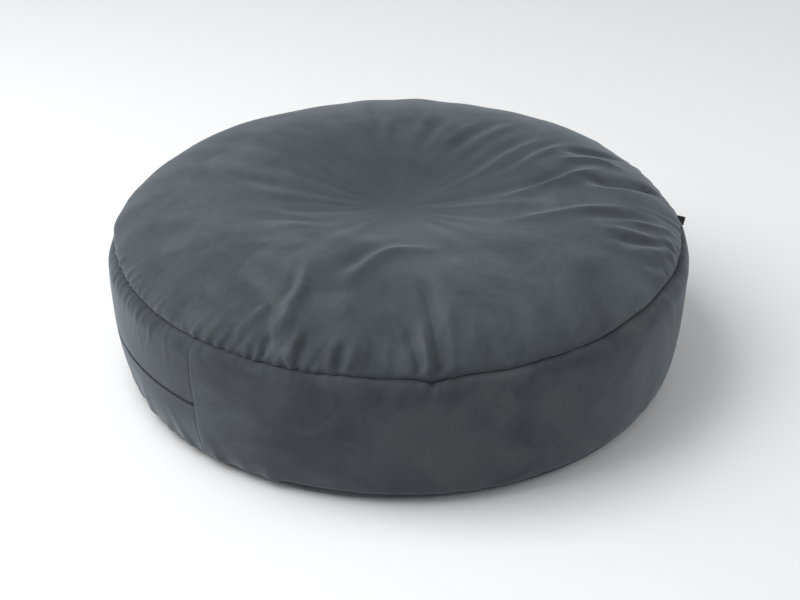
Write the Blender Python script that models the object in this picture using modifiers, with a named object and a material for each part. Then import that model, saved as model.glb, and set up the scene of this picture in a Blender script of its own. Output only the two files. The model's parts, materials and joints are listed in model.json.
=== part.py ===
"""Round velvet floor cushion: a zipped cover around a bead-filled inner bag.

Everything is in metres, +Z is up, and the origin is the middle of the underside.
The cover is cut as a top panel, a bottom panel and a side band. The band has a
front panel, a back panel and, between them, two strips with a zip set between
them. Azimuths are degrees about +Z, counted from +X.
"""
import math

import bmesh
import bpy
from mathutils import Matrix

# The filled cushion
SEAM_RADIUS = 0.500        # where the top panel meets the band
SEAM_HEIGHT = 0.247
BELLY_OUT = 0.019          # widest part of the band, beyond the top seam
BELLY_DROP = 0.030         # and below it
FOOT_TUCK = 0.015          # bottom seam, inside the top seam
FOOT_HEIGHT = 0.014        # bottom seam above the floor
FOOT_ROUND = 0.024         # how far in the bottom panel curves before it lies flat
CROWN_IN = 0.205           # highest ring of the top, inside the top seam
CROWN_RISE = 0.098         # and above it
CENTRE_DIP = 0.042         # sunken middle, below the crown
SHOULDER = 0.56            # power of the crown's outer curve; lower is fuller
TUCK = 0.60                # and of the band's curve down to the foot

# Cloth and sewing
FABRIC = 0.0012            # velvet with its backing
LINER = 0.0006             # inner bag's cloth
FLANGE = 0.008             # turned-in seam allowance
THREAD_RADIUS = 0.0009     # overlocked edge of a seam allowance
JOIN_RADIUS = 0.0005       # thread of an upright join in the band
JOIN_SETBACK = 0.0012      # and its place behind the cloth
GAP = 0.0003               # between pieces that touch
TOP_EASE = 0.0018          # inner bag below the top panel
CORNER_EASE = 0.0035       # inner bag inside the sewn corners
BAG_SETBACK = 0.0018       # inner bag behind the zip's slider

# Band joins and zip, along the band
ZIP_JOIN_AZIMUTH = -131.5  # upright seam where the zip strips meet the front panel
FRONT_SPAN = 157.5         # front panel
ZIP_SPAN = 97.5            # zip strips
GRID_STEP = 7.5            # facet of every turned piece
ZIP_STEP = 3.75            # finer facet along the zip

# Zip across the band
ZIP_HEIGHT = 0.125
GROOVE = 0.008             # slot between the strips
COIL_RADIUS = 0.0009
COIL_SPLIT = 0.0024        # free slot between the two coils
TAPE = 0.0006
TAPE_REACH = 0.016         # tape's outer edge from the zip's middle
ZIP_CLEARANCE = 0.0006     # round the slider
TAPE_END = 0.004           # tape stops this short of an upright seam
COIL_END = 0.005           # coil stops this short of the tape's end
STOP_LENGTH = 0.003        # end stop on the tape

# Slider and its pull
PLATE = 0.0009
SLIDER_LENGTH = 0.011
SLIDER_MARGIN = 0.026      # slider's middle to the upright seam, at either end
RAIL = 0.0008              # side rails of the slider's outer plate
POST_LENGTH = 0.004
ARCH_LENGTH = 0.0078
ARCH_WIDTH = 0.0014
ARCH_BAR = 0.0009
ARCH_RISE = 0.0015         # arch above the cloth
PULL_LENGTH = 0.020
PULL_WIDTH = 0.0050
PULL_THICKNESS = 0.0009
PULL_WINDOW = 0.0050       # far edge of the window that the arch passes through

# Inner bag's zip
LINER_ZIP_HEIGHT = 0.150
LINER_ZIP_AZIMUTH = 54.5   # where it starts
LINER_ZIP_SPAN = 30.0
LINER_TAPE_WIDTH = 0.022
LINER_COIL_RADIUS = 0.0008
LINER_SLIDER_LENGTH = 0.008
LINER_SLIDER_MARGIN = 5.0  # degrees from the tape's end

# Labels
SIDE_LABEL_AZIMUTH = 7.25
SIDE_LABEL_WIDTH = 0.016
SIDE_LABEL_REACH = 0.014
SIDE_LABEL_THICKNESS = 0.0010
CARE_LABEL_AZIMUTH = 94.5
CARE_LABEL_WIDTH = 0.032
CARE_LABEL_LENGTH = 0.050
CARE_LABEL_TOP = 0.110
CARE_LABEL_THICKNESS = 0.0004

# Points along each outline
DIP_STEPS = 3
SHOULDER_STEPS = 5
FOOT_STEPS = 2
LIP_SHARES = (0.0, 0.2, 1.0)                 # band, from the top seam to the belly
WALL_SHARES = (0.35, 0.6, 0.8, 0.93, 1.0)    # and from the belly to the bottom seam
THREAD_SIDES = 5
PULL_SIDES = 20
CROSS_BAR_SIDES = 12

# Values worked out from the ones above
CROWN_RADIUS = SEAM_RADIUS - CROWN_IN
FULL_TURN = 360.0
QUARTER_TURN = math.pi / 2
PLATE_DEPTH = FABRIC + ZIP_CLEARANCE
COIL_DEPTH = PLATE_DEPTH + PLATE + ZIP_CLEARANCE + COIL_RADIUS
TAPE_DEPTH = COIL_DEPTH + COIL_RADIUS + 2 * GAP
BACK_PLATE_DEPTH = TAPE_DEPTH + TAPE + ZIP_CLEARANCE
COIL_OFFSET = COIL_SPLIT / 2 + COIL_RADIUS
SLIDER_WIDTH = 2 * (COIL_OFFSET + COIL_RADIUS + ZIP_CLEARANCE + RAIL)
PIVOT_DEPTH = FABRIC / 2
FRONT_JOIN_AZIMUTH = ZIP_JOIN_AZIMUTH + FRONT_SPAN
ZIP_END_AZIMUTH = ZIP_JOIN_AZIMUTH - ZIP_SPAN
BACK_SPAN = FULL_TURN - FRONT_SPAN - ZIP_SPAN


class Layer:
    """Outline of one nested skin of the cushion, inset from the cover's outside."""

    def __init__(self, side=0.0, corner=0.0, top=0.0, bottom=0.0, pinch=0.0):
        """Insets at the belly, in and down at the sewn corners, at the crown and underneath."""
        self.seam_radius = SEAM_RADIUS - corner
        self.belly_radius = SEAM_RADIUS + BELLY_OUT - side
        self.foot_radius = SEAM_RADIUS - FOOT_TUCK - corner
        self.crown_height = SEAM_HEIGHT + CROWN_RISE - top
        self.belly_height = SEAM_HEIGHT - BELLY_DROP
        self.seam_height = SEAM_HEIGHT - pinch
        self.foot_height = FOOT_HEIGHT + pinch
        self.floor = bottom

    def top(self):
        """Points from the middle of the top out to the top seam."""
        points = []
        for step in range(DIP_STEPS + 1):
            share = step / DIP_STEPS
            dip = CENTRE_DIP * 0.5 * (1 + math.cos(math.pi * share))
            points.append((CROWN_RADIUS * share, self.crown_height - dip))
        rise = self.crown_height - self.seam_height
        for step in range(1, SHOULDER_STEPS + 1):
            share = math.sin(QUARTER_TURN * step / SHOULDER_STEPS)
            radius = CROWN_RADIUS + (self.seam_radius - CROWN_RADIUS) * share
            drop = max(0.0, 1 - share ** 2) ** SHOULDER
            points.append((radius, self.seam_height + rise * drop))
        return points

    def band_radius(self, height):
        """Radius of the band at a height."""
        if height >= self.belly_height:
            share = (height - self.belly_height) / (self.seam_height - self.belly_height)
            out = self.belly_radius - self.seam_radius
            return self.seam_radius + out * max(0.0, 1 - share ** 2) ** 0.5
        share = (self.belly_height - height) / (self.belly_height - self.foot_height)
        out = self.belly_radius - self.foot_radius
        return self.foot_radius + out * max(0.0, 1 - share ** 2) ** TUCK

    def band_heights(self):
        """Heights of the band's own points, from the top seam down to the bottom seam."""
        upper = self.seam_height - self.belly_height
        lower = self.belly_height - self.foot_height
        above = [self.seam_height - upper * share for share in LIP_SHARES]
        return above + [self.belly_height - lower * share for share in WALL_SHARES]

    def facet_radius(self, height):
        """Radius of the band's faceted solid at a height."""
        heights = self.band_heights()
        for above, below in zip(heights, heights[1:]):
            if below <= height <= above:
                share = (above - height) / (above - below)
                return self.band_radius(above) * (1 - share) + self.band_radius(below) * share
        return self.seam_radius

    def band(self, heights):
        """Points of the band at the given heights."""
        return [(self.band_radius(height), height) for height in heights]

    def bottom(self):
        """Points from the bottom seam in to the middle of the underside."""
        rise = self.foot_height - self.floor
        points = []
        for step in range(FOOT_STEPS + 1):
            angle = QUARTER_TURN * step / FOOT_STEPS
            radius = self.foot_radius - FOOT_ROUND * (1 - math.cos(angle))
            points.append((radius, self.foot_height - rise * math.sin(angle)))
        return points + [(0.0, self.floor)]


CORNER_INSET = FLANGE + GAP + 2 * THREAD_RADIUS + CORNER_EASE
LINER_SIDE_INSET = BACK_PLATE_DEPTH + PLATE + BAG_SETBACK
LINER_TOP_INSET = FABRIC + TOP_EASE
COVER = Layer()
BAG = Layer(LINER_SIDE_INSET, CORNER_INSET, LINER_TOP_INSET, FABRIC + GAP)
BEADS_EASE = 2 * LINER + 2 * GAP
BEADS = Layer(LINER_SIDE_INSET + BEADS_EASE, CORNER_INSET + BEADS_EASE,
              LINER_TOP_INSET + BEADS_EASE, FABRIC + LINER + 2 * GAP, BEADS_EASE)


def shifted(points, rise):
    """The same outline, moved up or down."""
    return [(radius, height + rise) for radius, height in points]


def lean_at(layer, height):
    """Angle by which the band leans out from upright at a height."""
    small = 0.001
    change = layer.band_radius(height + small) - layer.band_radius(height - small)
    return math.atan2(change, 2 * small)


def on_band(layer, height, along, depth):
    """Point at a distance up the band's slope and a depth behind its face."""
    lean = lean_at(layer, height)
    radius = layer.band_radius(height) + along * math.sin(lean) - depth * math.cos(lean)
    return radius, height + along * math.cos(lean) + depth * math.sin(lean)


def turn_for(length, radius):
    """Degrees that an arc of this length takes at this radius."""
    return math.degrees(length / radius)


def new_collection(name):
    """Collection linked into the scene."""
    collection = bpy.data.collections.new(name)
    bpy.context.scene.collection.children.link(collection)
    return collection


def new_material(name, colour, roughness, metallic=0.0):
    """Plain Principled material of one piece."""
    material = bpy.data.materials.new(name)
    material.use_nodes = True
    shader = material.node_tree.nodes["Principled BSDF"]
    shader.inputs["Base Color"].default_value = (*colour, 1.0)
    shader.inputs["Roughness"].default_value = roughness
    shader.inputs["Metallic"].default_value = metallic
    return material


VELVET = ((0.105, 0.119, 0.132), 0.85)
LINING = ((0.62, 0.61, 0.58), 0.9)
TAPE_CLOTH = ((0.06, 0.066, 0.072), 0.8)
NYLON = ((0.05, 0.055, 0.06), 0.45)
BLACK_METAL = ((0.03, 0.03, 0.032), 0.35, 0.8)
THREAD = ((0.08, 0.09, 0.1), 0.7)
BLACK_WOVEN = ((0.012, 0.012, 0.013), 0.7)
WHITE_WOVEN = ((0.75, 0.75, 0.73), 0.8)
FOAM_BEADS = ((0.85, 0.85, 0.83), 0.9)


def add_piece(name, data, finish, parent=None):
    """Object of the cushion with its own material."""
    piece = bpy.data.objects.new(name, data)
    piece.data.materials.append(new_material(name, *finish))
    piece.parent = parent
    cushion.objects.link(piece)
    return piece


def add_empty(name, location=(0.0, 0.0, 0.0), rotation=(0.0, 0.0, 0.0), parent=None):
    """Empty that carries moving pieces on their joint's axis."""
    empty = bpy.data.objects.new(name, None)
    empty.location = location
    empty.rotation_euler = rotation
    empty.parent = parent
    cushion.objects.link(empty)
    return empty


def turned(name, outline, finish, start=ZIP_JOIN_AZIMUTH, span=FULL_TURN, step=GRID_STEP,
           thickness=None, closed=False):
    """Outline turned about the axis; a thickness grows inwards from its outer face."""
    edges = [(index, index + 1) for index in range(len(outline) - 1)]
    if closed:
        edges.append((len(outline) - 1, 0))
    mesh = bpy.data.meshes.new(name)
    mesh.from_pydata([(radius, 0.0, height) for radius, height in outline], edges, [])
    piece = add_piece(name, mesh, finish)
    piece.rotation_euler.z = math.radians(start)
    screw = piece.modifiers.new("Turn", "SCREW")
    screw.angle = math.radians(span)
    screw.steps = max(1, round(span / step))
    screw.render_steps = screw.steps
    screw.use_merge_vertices = True
    screw.merge_threshold = 0.00001
    if thickness:
        wall = piece.modifiers.new("Wall", "SOLIDIFY")
        wall.thickness = thickness
        wall.offset = -1.0
        wall.use_even_offset = True
    return piece


def sector(name, outline, finish, start, span, step, thickness):
    """Turned sheet that keeps half a gap to its neighbour at both ends."""
    trim = turn_for(GAP / 2, SEAM_RADIUS)
    return turned(name, outline, finish, start + trim, span - 2 * trim, step, thickness)


def rod(name, points, radius, finish, resolution=1):
    """Round rod along a row of points, with closed ends."""
    curve = bpy.data.curves.new(name, "CURVE")
    curve.dimensions = "3D"
    curve.bevel_depth = radius
    curve.bevel_resolution = resolution
    curve.use_fill_caps = True
    spline = curve.splines.new("POLY")
    spline.points.add(len(points) - 1)
    for target, point in zip(spline.points, points):
        target.co = (*point, 1.0)
    return add_piece(name, curve, finish)


def around(radius, height, start, span, step):
    """Points on an arc about the axis."""
    count = max(1, round(span / step))
    points = []
    for index in range(count + 1):
        angle = math.radians(start + span * index / count)
        points.append((radius * math.cos(angle), radius * math.sin(angle), height))
    return points


def box_mesh(name, low, high):
    """Mesh of a box between two corners."""
    size = [b - a for a, b in zip(low, high)]
    middle = [(a + b) / 2 for a, b in zip(low, high)]
    shape = bmesh.new()
    place = Matrix.Translation(middle) @ Matrix.Diagonal((*size, 1.0))
    bmesh.ops.create_cube(shape, size=1.0, matrix=place)
    mesh = bpy.data.meshes.new(name)
    shape.to_mesh(mesh)
    shape.free()
    return mesh


def cylinder_mesh(name, radius, length, middle, turn, segments):
    """Mesh of a cylinder along local Z, turned and then moved to its middle."""
    shape = bmesh.new()
    bmesh.ops.create_cone(shape, cap_ends=True, segments=segments, radius1=radius, radius2=radius,
                          depth=length, matrix=Matrix.Translation(middle) @ turn)
    mesh = bpy.data.meshes.new(name)
    shape.to_mesh(mesh)
    shape.free()
    return mesh


def combine(piece, tools, operation):
    """Boolean each tool mesh with the piece; the tools go with the cutters."""
    for index, mesh in enumerate(tools):
        tool = bpy.data.objects.new(f"{piece.name}_{operation.lower()}_{index}", mesh)
        tool.parent = piece.parent
        tool.hide_render = True
        tool.display_type = "WIRE"
        cutters.objects.link(tool)
        boolean = piece.modifiers.new(tool.name, "BOOLEAN")
        boolean.operation = operation
        boolean.solver = "EXACT"
        boolean.object = tool


def build_cover_panels():
    """Top and bottom panels, each with its seam allowance turned in."""
    top = shifted(COVER.top(), GAP / 2)
    top.append((COVER.seam_radius - FLANGE, SEAM_HEIGHT + GAP / 2))
    turned("cover_top_panel", top, VELVET, thickness=FABRIC)
    bottom = COVER.bottom()
    level = FOOT_HEIGHT - GAP / 2
    seam = [(COVER.foot_radius - FLANGE, level), (COVER.foot_radius, level)]
    turned("cover_bottom_panel", seam + bottom[1:], VELVET, thickness=FABRIC)


def top_allowance():
    """Band's turned-in edge under the top panel's, ending on the seam."""
    height = SEAM_HEIGHT - GAP / 2
    return [(COVER.seam_radius - FLANGE, height), (COVER.seam_radius, height)]


def foot_allowance():
    """Band's turned-in edge above the bottom panel's, starting on the seam."""
    height = FOOT_HEIGHT + GAP / 2
    return [(COVER.foot_radius, height), (COVER.foot_radius - FLANGE, height)]


def build_band():
    """Front and back panels of the band, and the strips either side of the zip."""
    whole = top_allowance() + COVER.band(COVER.band_heights()[1:-1]) + foot_allowance()
    sector("cover_band_front", whole, VELVET, ZIP_JOIN_AZIMUTH, FRONT_SPAN, GRID_STEP, FABRIC)
    sector("cover_band_back", whole, VELVET, FRONT_JOIN_AZIMUTH, BACK_SPAN, GRID_STEP, FABRIC)
    heights = COVER.band_heights()[1:-1]
    upper_end = ZIP_HEIGHT + GROOVE / 2
    upper_bend = ZIP_HEIGHT + TAPE_REACH
    lower_end = ZIP_HEIGHT - GROOVE / 2
    lower_bend = ZIP_HEIGHT - TAPE_REACH
    above = [height for height in heights if height > upper_bend] + [upper_bend, upper_end]
    below = [lower_end, lower_bend] + [height for height in heights if height < lower_bend]
    upper = top_allowance() + COVER.band(above)
    lower = COVER.band(below) + foot_allowance()
    sector("cover_zip_strip_upper", upper, VELVET, ZIP_END_AZIMUTH, ZIP_SPAN, ZIP_STEP, FABRIC)
    sector("cover_zip_strip_lower", lower, VELVET, ZIP_END_AZIMUTH, ZIP_SPAN, ZIP_STEP, FABRIC)


def build_seam_threads():
    """Overlocked edges of the two round seams and threads of the upright joins."""
    for name, radius, height in (("top_seam_thread", COVER.seam_radius, SEAM_HEIGHT),
                                 ("bottom_seam_thread", COVER.foot_radius, FOOT_HEIGHT)):
        middle = radius - FLANGE - GAP - THREAD_RADIUS
        section = []
        for index in range(THREAD_SIDES):
            angle = -math.radians(FULL_TURN / THREAD_SIDES * index)
            section.append((middle + THREAD_RADIUS * math.cos(angle),
                            height + THREAD_RADIUS * math.sin(angle)))
        turned(name, section, THREAD, closed=True)
    depth = FABRIC + JOIN_SETBACK + JOIN_RADIUS
    joins = (("front", FRONT_JOIN_AZIMUTH), ("zip_start", ZIP_JOIN_AZIMUTH),
             ("zip_end", ZIP_END_AZIMUTH))
    for name, azimuth in joins:
        angle = math.radians(azimuth)
        points = []
        for height in COVER.band_heights()[1:-1]:
            radius, level = on_band(COVER, height, 0.0, depth)
            points.append((radius * math.cos(angle), radius * math.sin(angle), level))
        rod(f"band_join_thread_{name}", points, JOIN_RADIUS, THREAD)


def build_zip():
    """Tapes, coils and end stops of the cover's zip."""
    radius = COVER.band_radius(ZIP_HEIGHT)
    tape_start = ZIP_END_AZIMUTH + turn_for(TAPE_END, radius)
    tape_span = ZIP_SPAN - 2 * turn_for(TAPE_END, radius)
    coil_start = tape_start + turn_for(COIL_END, radius)
    coil_span = tape_span - 2 * turn_for(COIL_END, radius)
    inner = COIL_SPLIT / 2
    bend = SLIDER_WIDTH / 2 + ZIP_CLEARANCE
    sewn = bend + TAPE_DEPTH
    for name, side in (("upper", 1), ("lower", -1)):
        across = [(TAPE_REACH, FABRIC + 2 * GAP), (sewn, FABRIC + 2 * GAP),
                  (bend, TAPE_DEPTH), (inner, TAPE_DEPTH)]
        outline = [on_band(COVER, ZIP_HEIGHT, side * along, depth) for along, depth in across]
        turned(f"zip_tape_{name}", outline[::side], TAPE_CLOTH, tape_start, tape_span, ZIP_STEP, TAPE)
        ring, level = on_band(COVER, ZIP_HEIGHT, side * COIL_OFFSET, COIL_DEPTH)
        points = around(ring, level, coil_start, coil_span, ZIP_STEP)
        rod(f"zip_coil_{name}", points, COIL_RADIUS, NYLON)
    across = [(COIL_OFFSET, COIL_DEPTH), (-COIL_OFFSET, COIL_DEPTH)]
    outline = [on_band(COVER, ZIP_HEIGHT, along, depth - COIL_RADIUS / 2) for along, depth in across]
    stop_turn = turn_for(STOP_LENGTH, radius)
    ends = (("closed", tape_start + stop_turn / 4),
            ("open", tape_start + tape_span - stop_turn * 1.25))
    for name, start in ends:
        turned(f"zip_stop_{name}", outline, BLACK_METAL, start, stop_turn, ZIP_STEP, COIL_RADIUS)


def build_slider():
    """Zip slider, carried by an empty on the cushion's axis, and its pull."""
    margin = turn_for(SLIDER_MARGIN, COVER.band_radius(ZIP_HEIGHT))
    axis = add_empty("zip_axis", rotation=(0.0, 0.0, math.radians(ZIP_END_AZIMUTH + margin)))
    seat = add_empty("slider_seat", (COVER.band_radius(ZIP_HEIGHT), 0.0, ZIP_HEIGHT),
                     (0.0, lean_at(COVER, ZIP_HEIGHT), 0.0), axis)
    half, wide = SLIDER_LENGTH / 2, SLIDER_WIDTH / 2
    overlap = PLATE / 3
    face, under = -PLATE_DEPTH, -PLATE_DEPTH - PLATE
    back_face = -BACK_PLATE_DEPTH
    plate = box_mesh("zip_slider", (under, -half, -wide), (face, half, wide))
    slider = add_piece("zip_slider", plate, BLACK_METAL, seat)
    rail_foot = -TAPE_DEPTH + ZIP_CLEARANCE
    roof = face - overlap
    rail = half - overlap
    post, long = COIL_SPLIT / 2 - ZIP_CLEARANCE, POST_LENGTH / 2
    arch, bar = ARCH_LENGTH / 2, ARCH_WIDTH / 2
    joined = [
        box_mesh("back_plate", (back_face - PLATE, -half, -wide), (back_face, half, wide)),
        box_mesh("post", (back_face - overlap, -long, -post), (under + overlap, long, post)),
        box_mesh("rail_up", (rail_foot, -rail, wide - RAIL), (roof, rail, wide - overlap)),
        box_mesh("rail_down", (rail_foot, -rail, overlap - wide), (roof, rail, RAIL - wide)),
        box_mesh("arch", (roof, -arch, -bar), (ARCH_RISE, arch, bar)),
    ]
    combine(slider, joined, "UNION")
    inside = arch - ARCH_BAR
    hole = box_mesh("arch_hole", (face, -inside, -bar - RAIL),
                    (ARCH_RISE - ARCH_BAR, inside, bar + RAIL))
    combine(slider, [hole], "DIFFERENCE")
    build_pull(add_empty("pull_pivot", (-PIVOT_DEPTH, 0.0, 0.0), parent=seat))


def build_pull(pivot):
    """Flat pull whose cross bar sits under the slider's arch."""
    thick, wide = PULL_THICKNESS / 2, PULL_WIDTH / 2
    tip = PULL_LENGTH - wide
    pull = add_piece("zip_pull", box_mesh("zip_pull", (-thick, -tip, -wide), (thick, 0.0, wide)),
                     BLACK_METAL, pivot)
    flat = Matrix.Rotation(math.radians(90), 4, "Y")
    joined = [cylinder_mesh("cross_bar", thick, PULL_WIDTH, (0.0, 0.0, 0.0), Matrix(),
                           CROSS_BAR_SIDES),
              cylinder_mesh("tip", wide, PULL_THICKNESS, (0.0, -tip, 0.0), flat, PULL_SIDES)]
    combine(pull, joined, "UNION")
    clear = ARCH_WIDTH / 2 + ZIP_CLEARANCE
    window = box_mesh("window", (-PULL_WIDTH, -PULL_WINDOW, -clear), (PULL_WIDTH, -thick, clear))
    combine(pull, [window], "DIFFERENCE")


def build_inner_bag():
    """Inner bag, its short zip with a slider that has no pull, and the beads."""
    top = BAG.top()[:-1] + [(BAG.seam_radius, SEAM_HEIGHT + GAP / 2)]
    turned("liner_top", top, LINING, thickness=LINER)
    band = BAG.band(BAG.band_heights())
    band[0] = (band[0][0], SEAM_HEIGHT - GAP / 2)
    band[-1] = (band[-1][0], FOOT_HEIGHT + GAP / 2)
    turned("liner_band", band, LINING, thickness=LINER)
    bottom = BAG.bottom()
    bottom[0] = (bottom[0][0], bottom[0][1] - GAP / 2)
    turned("liner_bottom", bottom, LINING, thickness=LINER)
    beads = BEADS.top() + BEADS.band(BEADS.band_heights()[1:-1]) + BEADS.bottom()
    turned("bead_fill", beads, FOAM_BEADS)


def build_liner_zip():
    """Inner bag's zip, sewn flat on the outside of its band."""
    half = LINER_TAPE_WIDTH / 2
    lift = 2 * GAP + TAPE
    outline = [on_band(BAG, LINER_ZIP_HEIGHT, along, -lift) for along in (half, -half)]
    turned("liner_zip_tape", outline, WHITE_WOVEN, LINER_ZIP_AZIMUTH, LINER_ZIP_SPAN, ZIP_STEP, TAPE)
    ring, level = on_band(BAG, LINER_ZIP_HEIGHT, 0.0, -lift - 2 * GAP - LINER_COIL_RADIUS)
    points = around(ring, level, LINER_ZIP_AZIMUTH + ZIP_STEP, LINER_ZIP_SPAN - 2 * ZIP_STEP, ZIP_STEP)
    rod("liner_zip_coil", points, LINER_COIL_RADIUS, WHITE_WOVEN)
    axis = add_empty("liner_zip_axis",
                     rotation=(0.0, 0.0, math.radians(LINER_ZIP_AZIMUTH + LINER_SLIDER_MARGIN)))
    seat = add_empty("liner_slider_seat", (BAG.band_radius(LINER_ZIP_HEIGHT), 0.0, LINER_ZIP_HEIGHT),
                     (0.0, lean_at(BAG, LINER_ZIP_HEIGHT), 0.0), axis)
    half = LINER_SLIDER_LENGTH / 2
    inside = LINER_COIL_RADIUS + ZIP_CLEARANCE
    wide = inside + RAIL
    foot = lift + ZIP_CLEARANCE
    roof = lift + 2 * GAP + 2 * LINER_COIL_RADIUS + ZIP_CLEARANCE
    body = box_mesh("liner_zip_slider", (foot, -half, -wide), (roof + PLATE, half, wide))
    slider = add_piece("liner_zip_slider", body, BLACK_METAL, seat)
    channel = box_mesh("channel", (foot - PLATE, -SLIDER_LENGTH, -inside), (roof, SLIDER_LENGTH, inside))
    combine(slider, [channel], "DIFFERENCE")


def build_labels():
    """Blank woven label in the top seam and blank care label inside the band."""
    holder = add_empty("side_label_seat", rotation=(0.0, 0.0, math.radians(SIDE_LABEL_AZIMUTH)))
    start = COVER.seam_radius + GAP + FABRIC
    base = SEAM_HEIGHT + GAP
    half = SIDE_LABEL_WIDTH / 2
    corner = (start + SIDE_LABEL_REACH, half, base + SIDE_LABEL_THICKNESS)
    add_piece("side_label", box_mesh("side_label", (start, -half, base), corner), BLACK_WOVEN, holder)
    span = turn_for(CARE_LABEL_WIDTH, SEAM_RADIUS)
    sag = COVER.belly_radius * (1 - math.cos(math.radians(GRID_STEP / 2)))
    outline = []
    for height in (CARE_LABEL_TOP, CARE_LABEL_TOP - CARE_LABEL_LENGTH):
        outline.append((COVER.facet_radius(height) - 2 * FABRIC - sag, height))
    turned("care_label", outline, WHITE_WOVEN, CARE_LABEL_AZIMUTH, span, GRID_STEP, CARE_LABEL_THICKNESS)


for old in list(bpy.data.objects):
    bpy.data.objects.remove(old)
cushion = new_collection("floor_cushion")
cutters = new_collection("cutters")
build_cover_panels()
build_band()
build_seam_threads()
build_zip()
build_slider()
build_inner_bag()
build_liner_zip()
build_labels()
bpy.context.view_layer.update()
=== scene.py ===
"""Round velvet floor cushion: a zipped cover gathered over a bead-filled inner bag."""
import json
import logging
import math
from collections.abc import Iterator, Sequence
from contextlib import contextmanager
from dataclasses import dataclass, field
from enum import Enum

import bpy
import numpy as np
from mathutils import Matrix, Vector


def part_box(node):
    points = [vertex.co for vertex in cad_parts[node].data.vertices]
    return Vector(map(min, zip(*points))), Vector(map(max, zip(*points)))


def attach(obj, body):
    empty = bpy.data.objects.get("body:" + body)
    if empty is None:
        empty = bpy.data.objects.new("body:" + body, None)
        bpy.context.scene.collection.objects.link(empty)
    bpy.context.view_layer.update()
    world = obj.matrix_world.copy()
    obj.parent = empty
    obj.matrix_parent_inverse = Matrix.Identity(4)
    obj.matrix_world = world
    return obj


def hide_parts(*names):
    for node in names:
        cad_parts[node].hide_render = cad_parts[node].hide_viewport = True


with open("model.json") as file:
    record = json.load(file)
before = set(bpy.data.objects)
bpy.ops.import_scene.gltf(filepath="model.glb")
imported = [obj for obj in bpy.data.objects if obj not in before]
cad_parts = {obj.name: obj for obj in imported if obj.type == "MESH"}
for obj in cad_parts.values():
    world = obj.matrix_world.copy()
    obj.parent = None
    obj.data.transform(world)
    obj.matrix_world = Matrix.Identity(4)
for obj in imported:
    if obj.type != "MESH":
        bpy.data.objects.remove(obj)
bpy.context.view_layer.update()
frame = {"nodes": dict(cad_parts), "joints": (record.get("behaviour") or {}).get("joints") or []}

LOG = logging.getLogger("floor_cushion")
Visit = tuple[float, float]
Face = tuple[int, ...]
Colour = tuple[float, float, float]
Place = tuple[float, float, float]


def middle_height(node: str) -> float:
    """Height halfway up a CAD node."""
    low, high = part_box(node)
    return (low.z + high.z) / 2


def ease(share: np.ndarray) -> np.ndarray:
    """Smooth rise from 0 to 1, flat at both ends."""
    clipped = np.clip(share, 0.0, 1.0)
    return clipped * clipped * (3 - 2 * clipped)


def unit(vectors: np.ndarray) -> np.ndarray:
    """The same vectors, each one long."""
    return vectors / np.maximum(np.linalg.norm(vectors, axis=-1, keepdims=True), 1e-12)


def turn_between(azimuth: np.ndarray, centre: float) -> np.ndarray:
    """Signed degrees from a centre azimuth, the short way round."""
    return (azimuth - centre + 180.0) % 360.0 - 180.0


def hump(azimuth: np.ndarray, centre: float, reach: float, power: int = 2) -> np.ndarray:
    """Round swell over some azimuths, 1 at its centre; flatter on top at a higher power."""
    return np.exp(-(turn_between(azimuth, centre) / reach) ** power)


def cubic(rows: np.ndarray, places: np.ndarray, closed: bool) -> np.ndarray:
    """Smooth values between the rows of a grid.

    Args:
        rows: Values along the first axis.
        places: Fractional row numbers to read.
        closed: True where the last row is followed by the first.

    Returns:
        One row for each place.
    """
    count = len(rows)
    base = np.floor(places).astype(int)
    share = (places - base)[:, None, None]
    index = [base + step for step in (-1, 0, 1, 2)]
    a, b, c, d = (rows[i % count if closed else np.clip(i, 0, count - 1)] for i in index)
    rise = 2 * a - 5 * b + 4 * c - d
    return 0.5 * (2 * b + (c - a) * share + rise * share ** 2 + (3 * b - a - 3 * c + d) * share ** 3)


def finer(grid: np.ndarray, rows: np.ndarray, columns: np.ndarray) -> np.ndarray:
    """Grid read at fractional rows and, round the closed turn, fractional columns."""
    along = cubic(grid, rows, closed=False)
    return cubic(along.swapaxes(0, 1), columns, closed=True).swapaxes(0, 1)


def outward(grid: np.ndarray) -> np.ndarray:
    """Level unit vectors that point away from the cushion's axis."""
    return np.concatenate([unit(grid[..., :2]), np.zeros((*grid.shape[:-1], 1))], -1)


def normals(grid: np.ndarray, closed: bool = True) -> np.ndarray:
    """Outward normals of a grid whose rows run from the crown down to the foot."""
    down = np.gradient(grid, axis=0)
    if closed:
        round_it = np.roll(grid, -1, axis=1) - np.roll(grid, 1, axis=1)
    else:
        round_it = np.gradient(grid, axis=1)
    return unit(np.cross(down, round_it))


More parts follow.
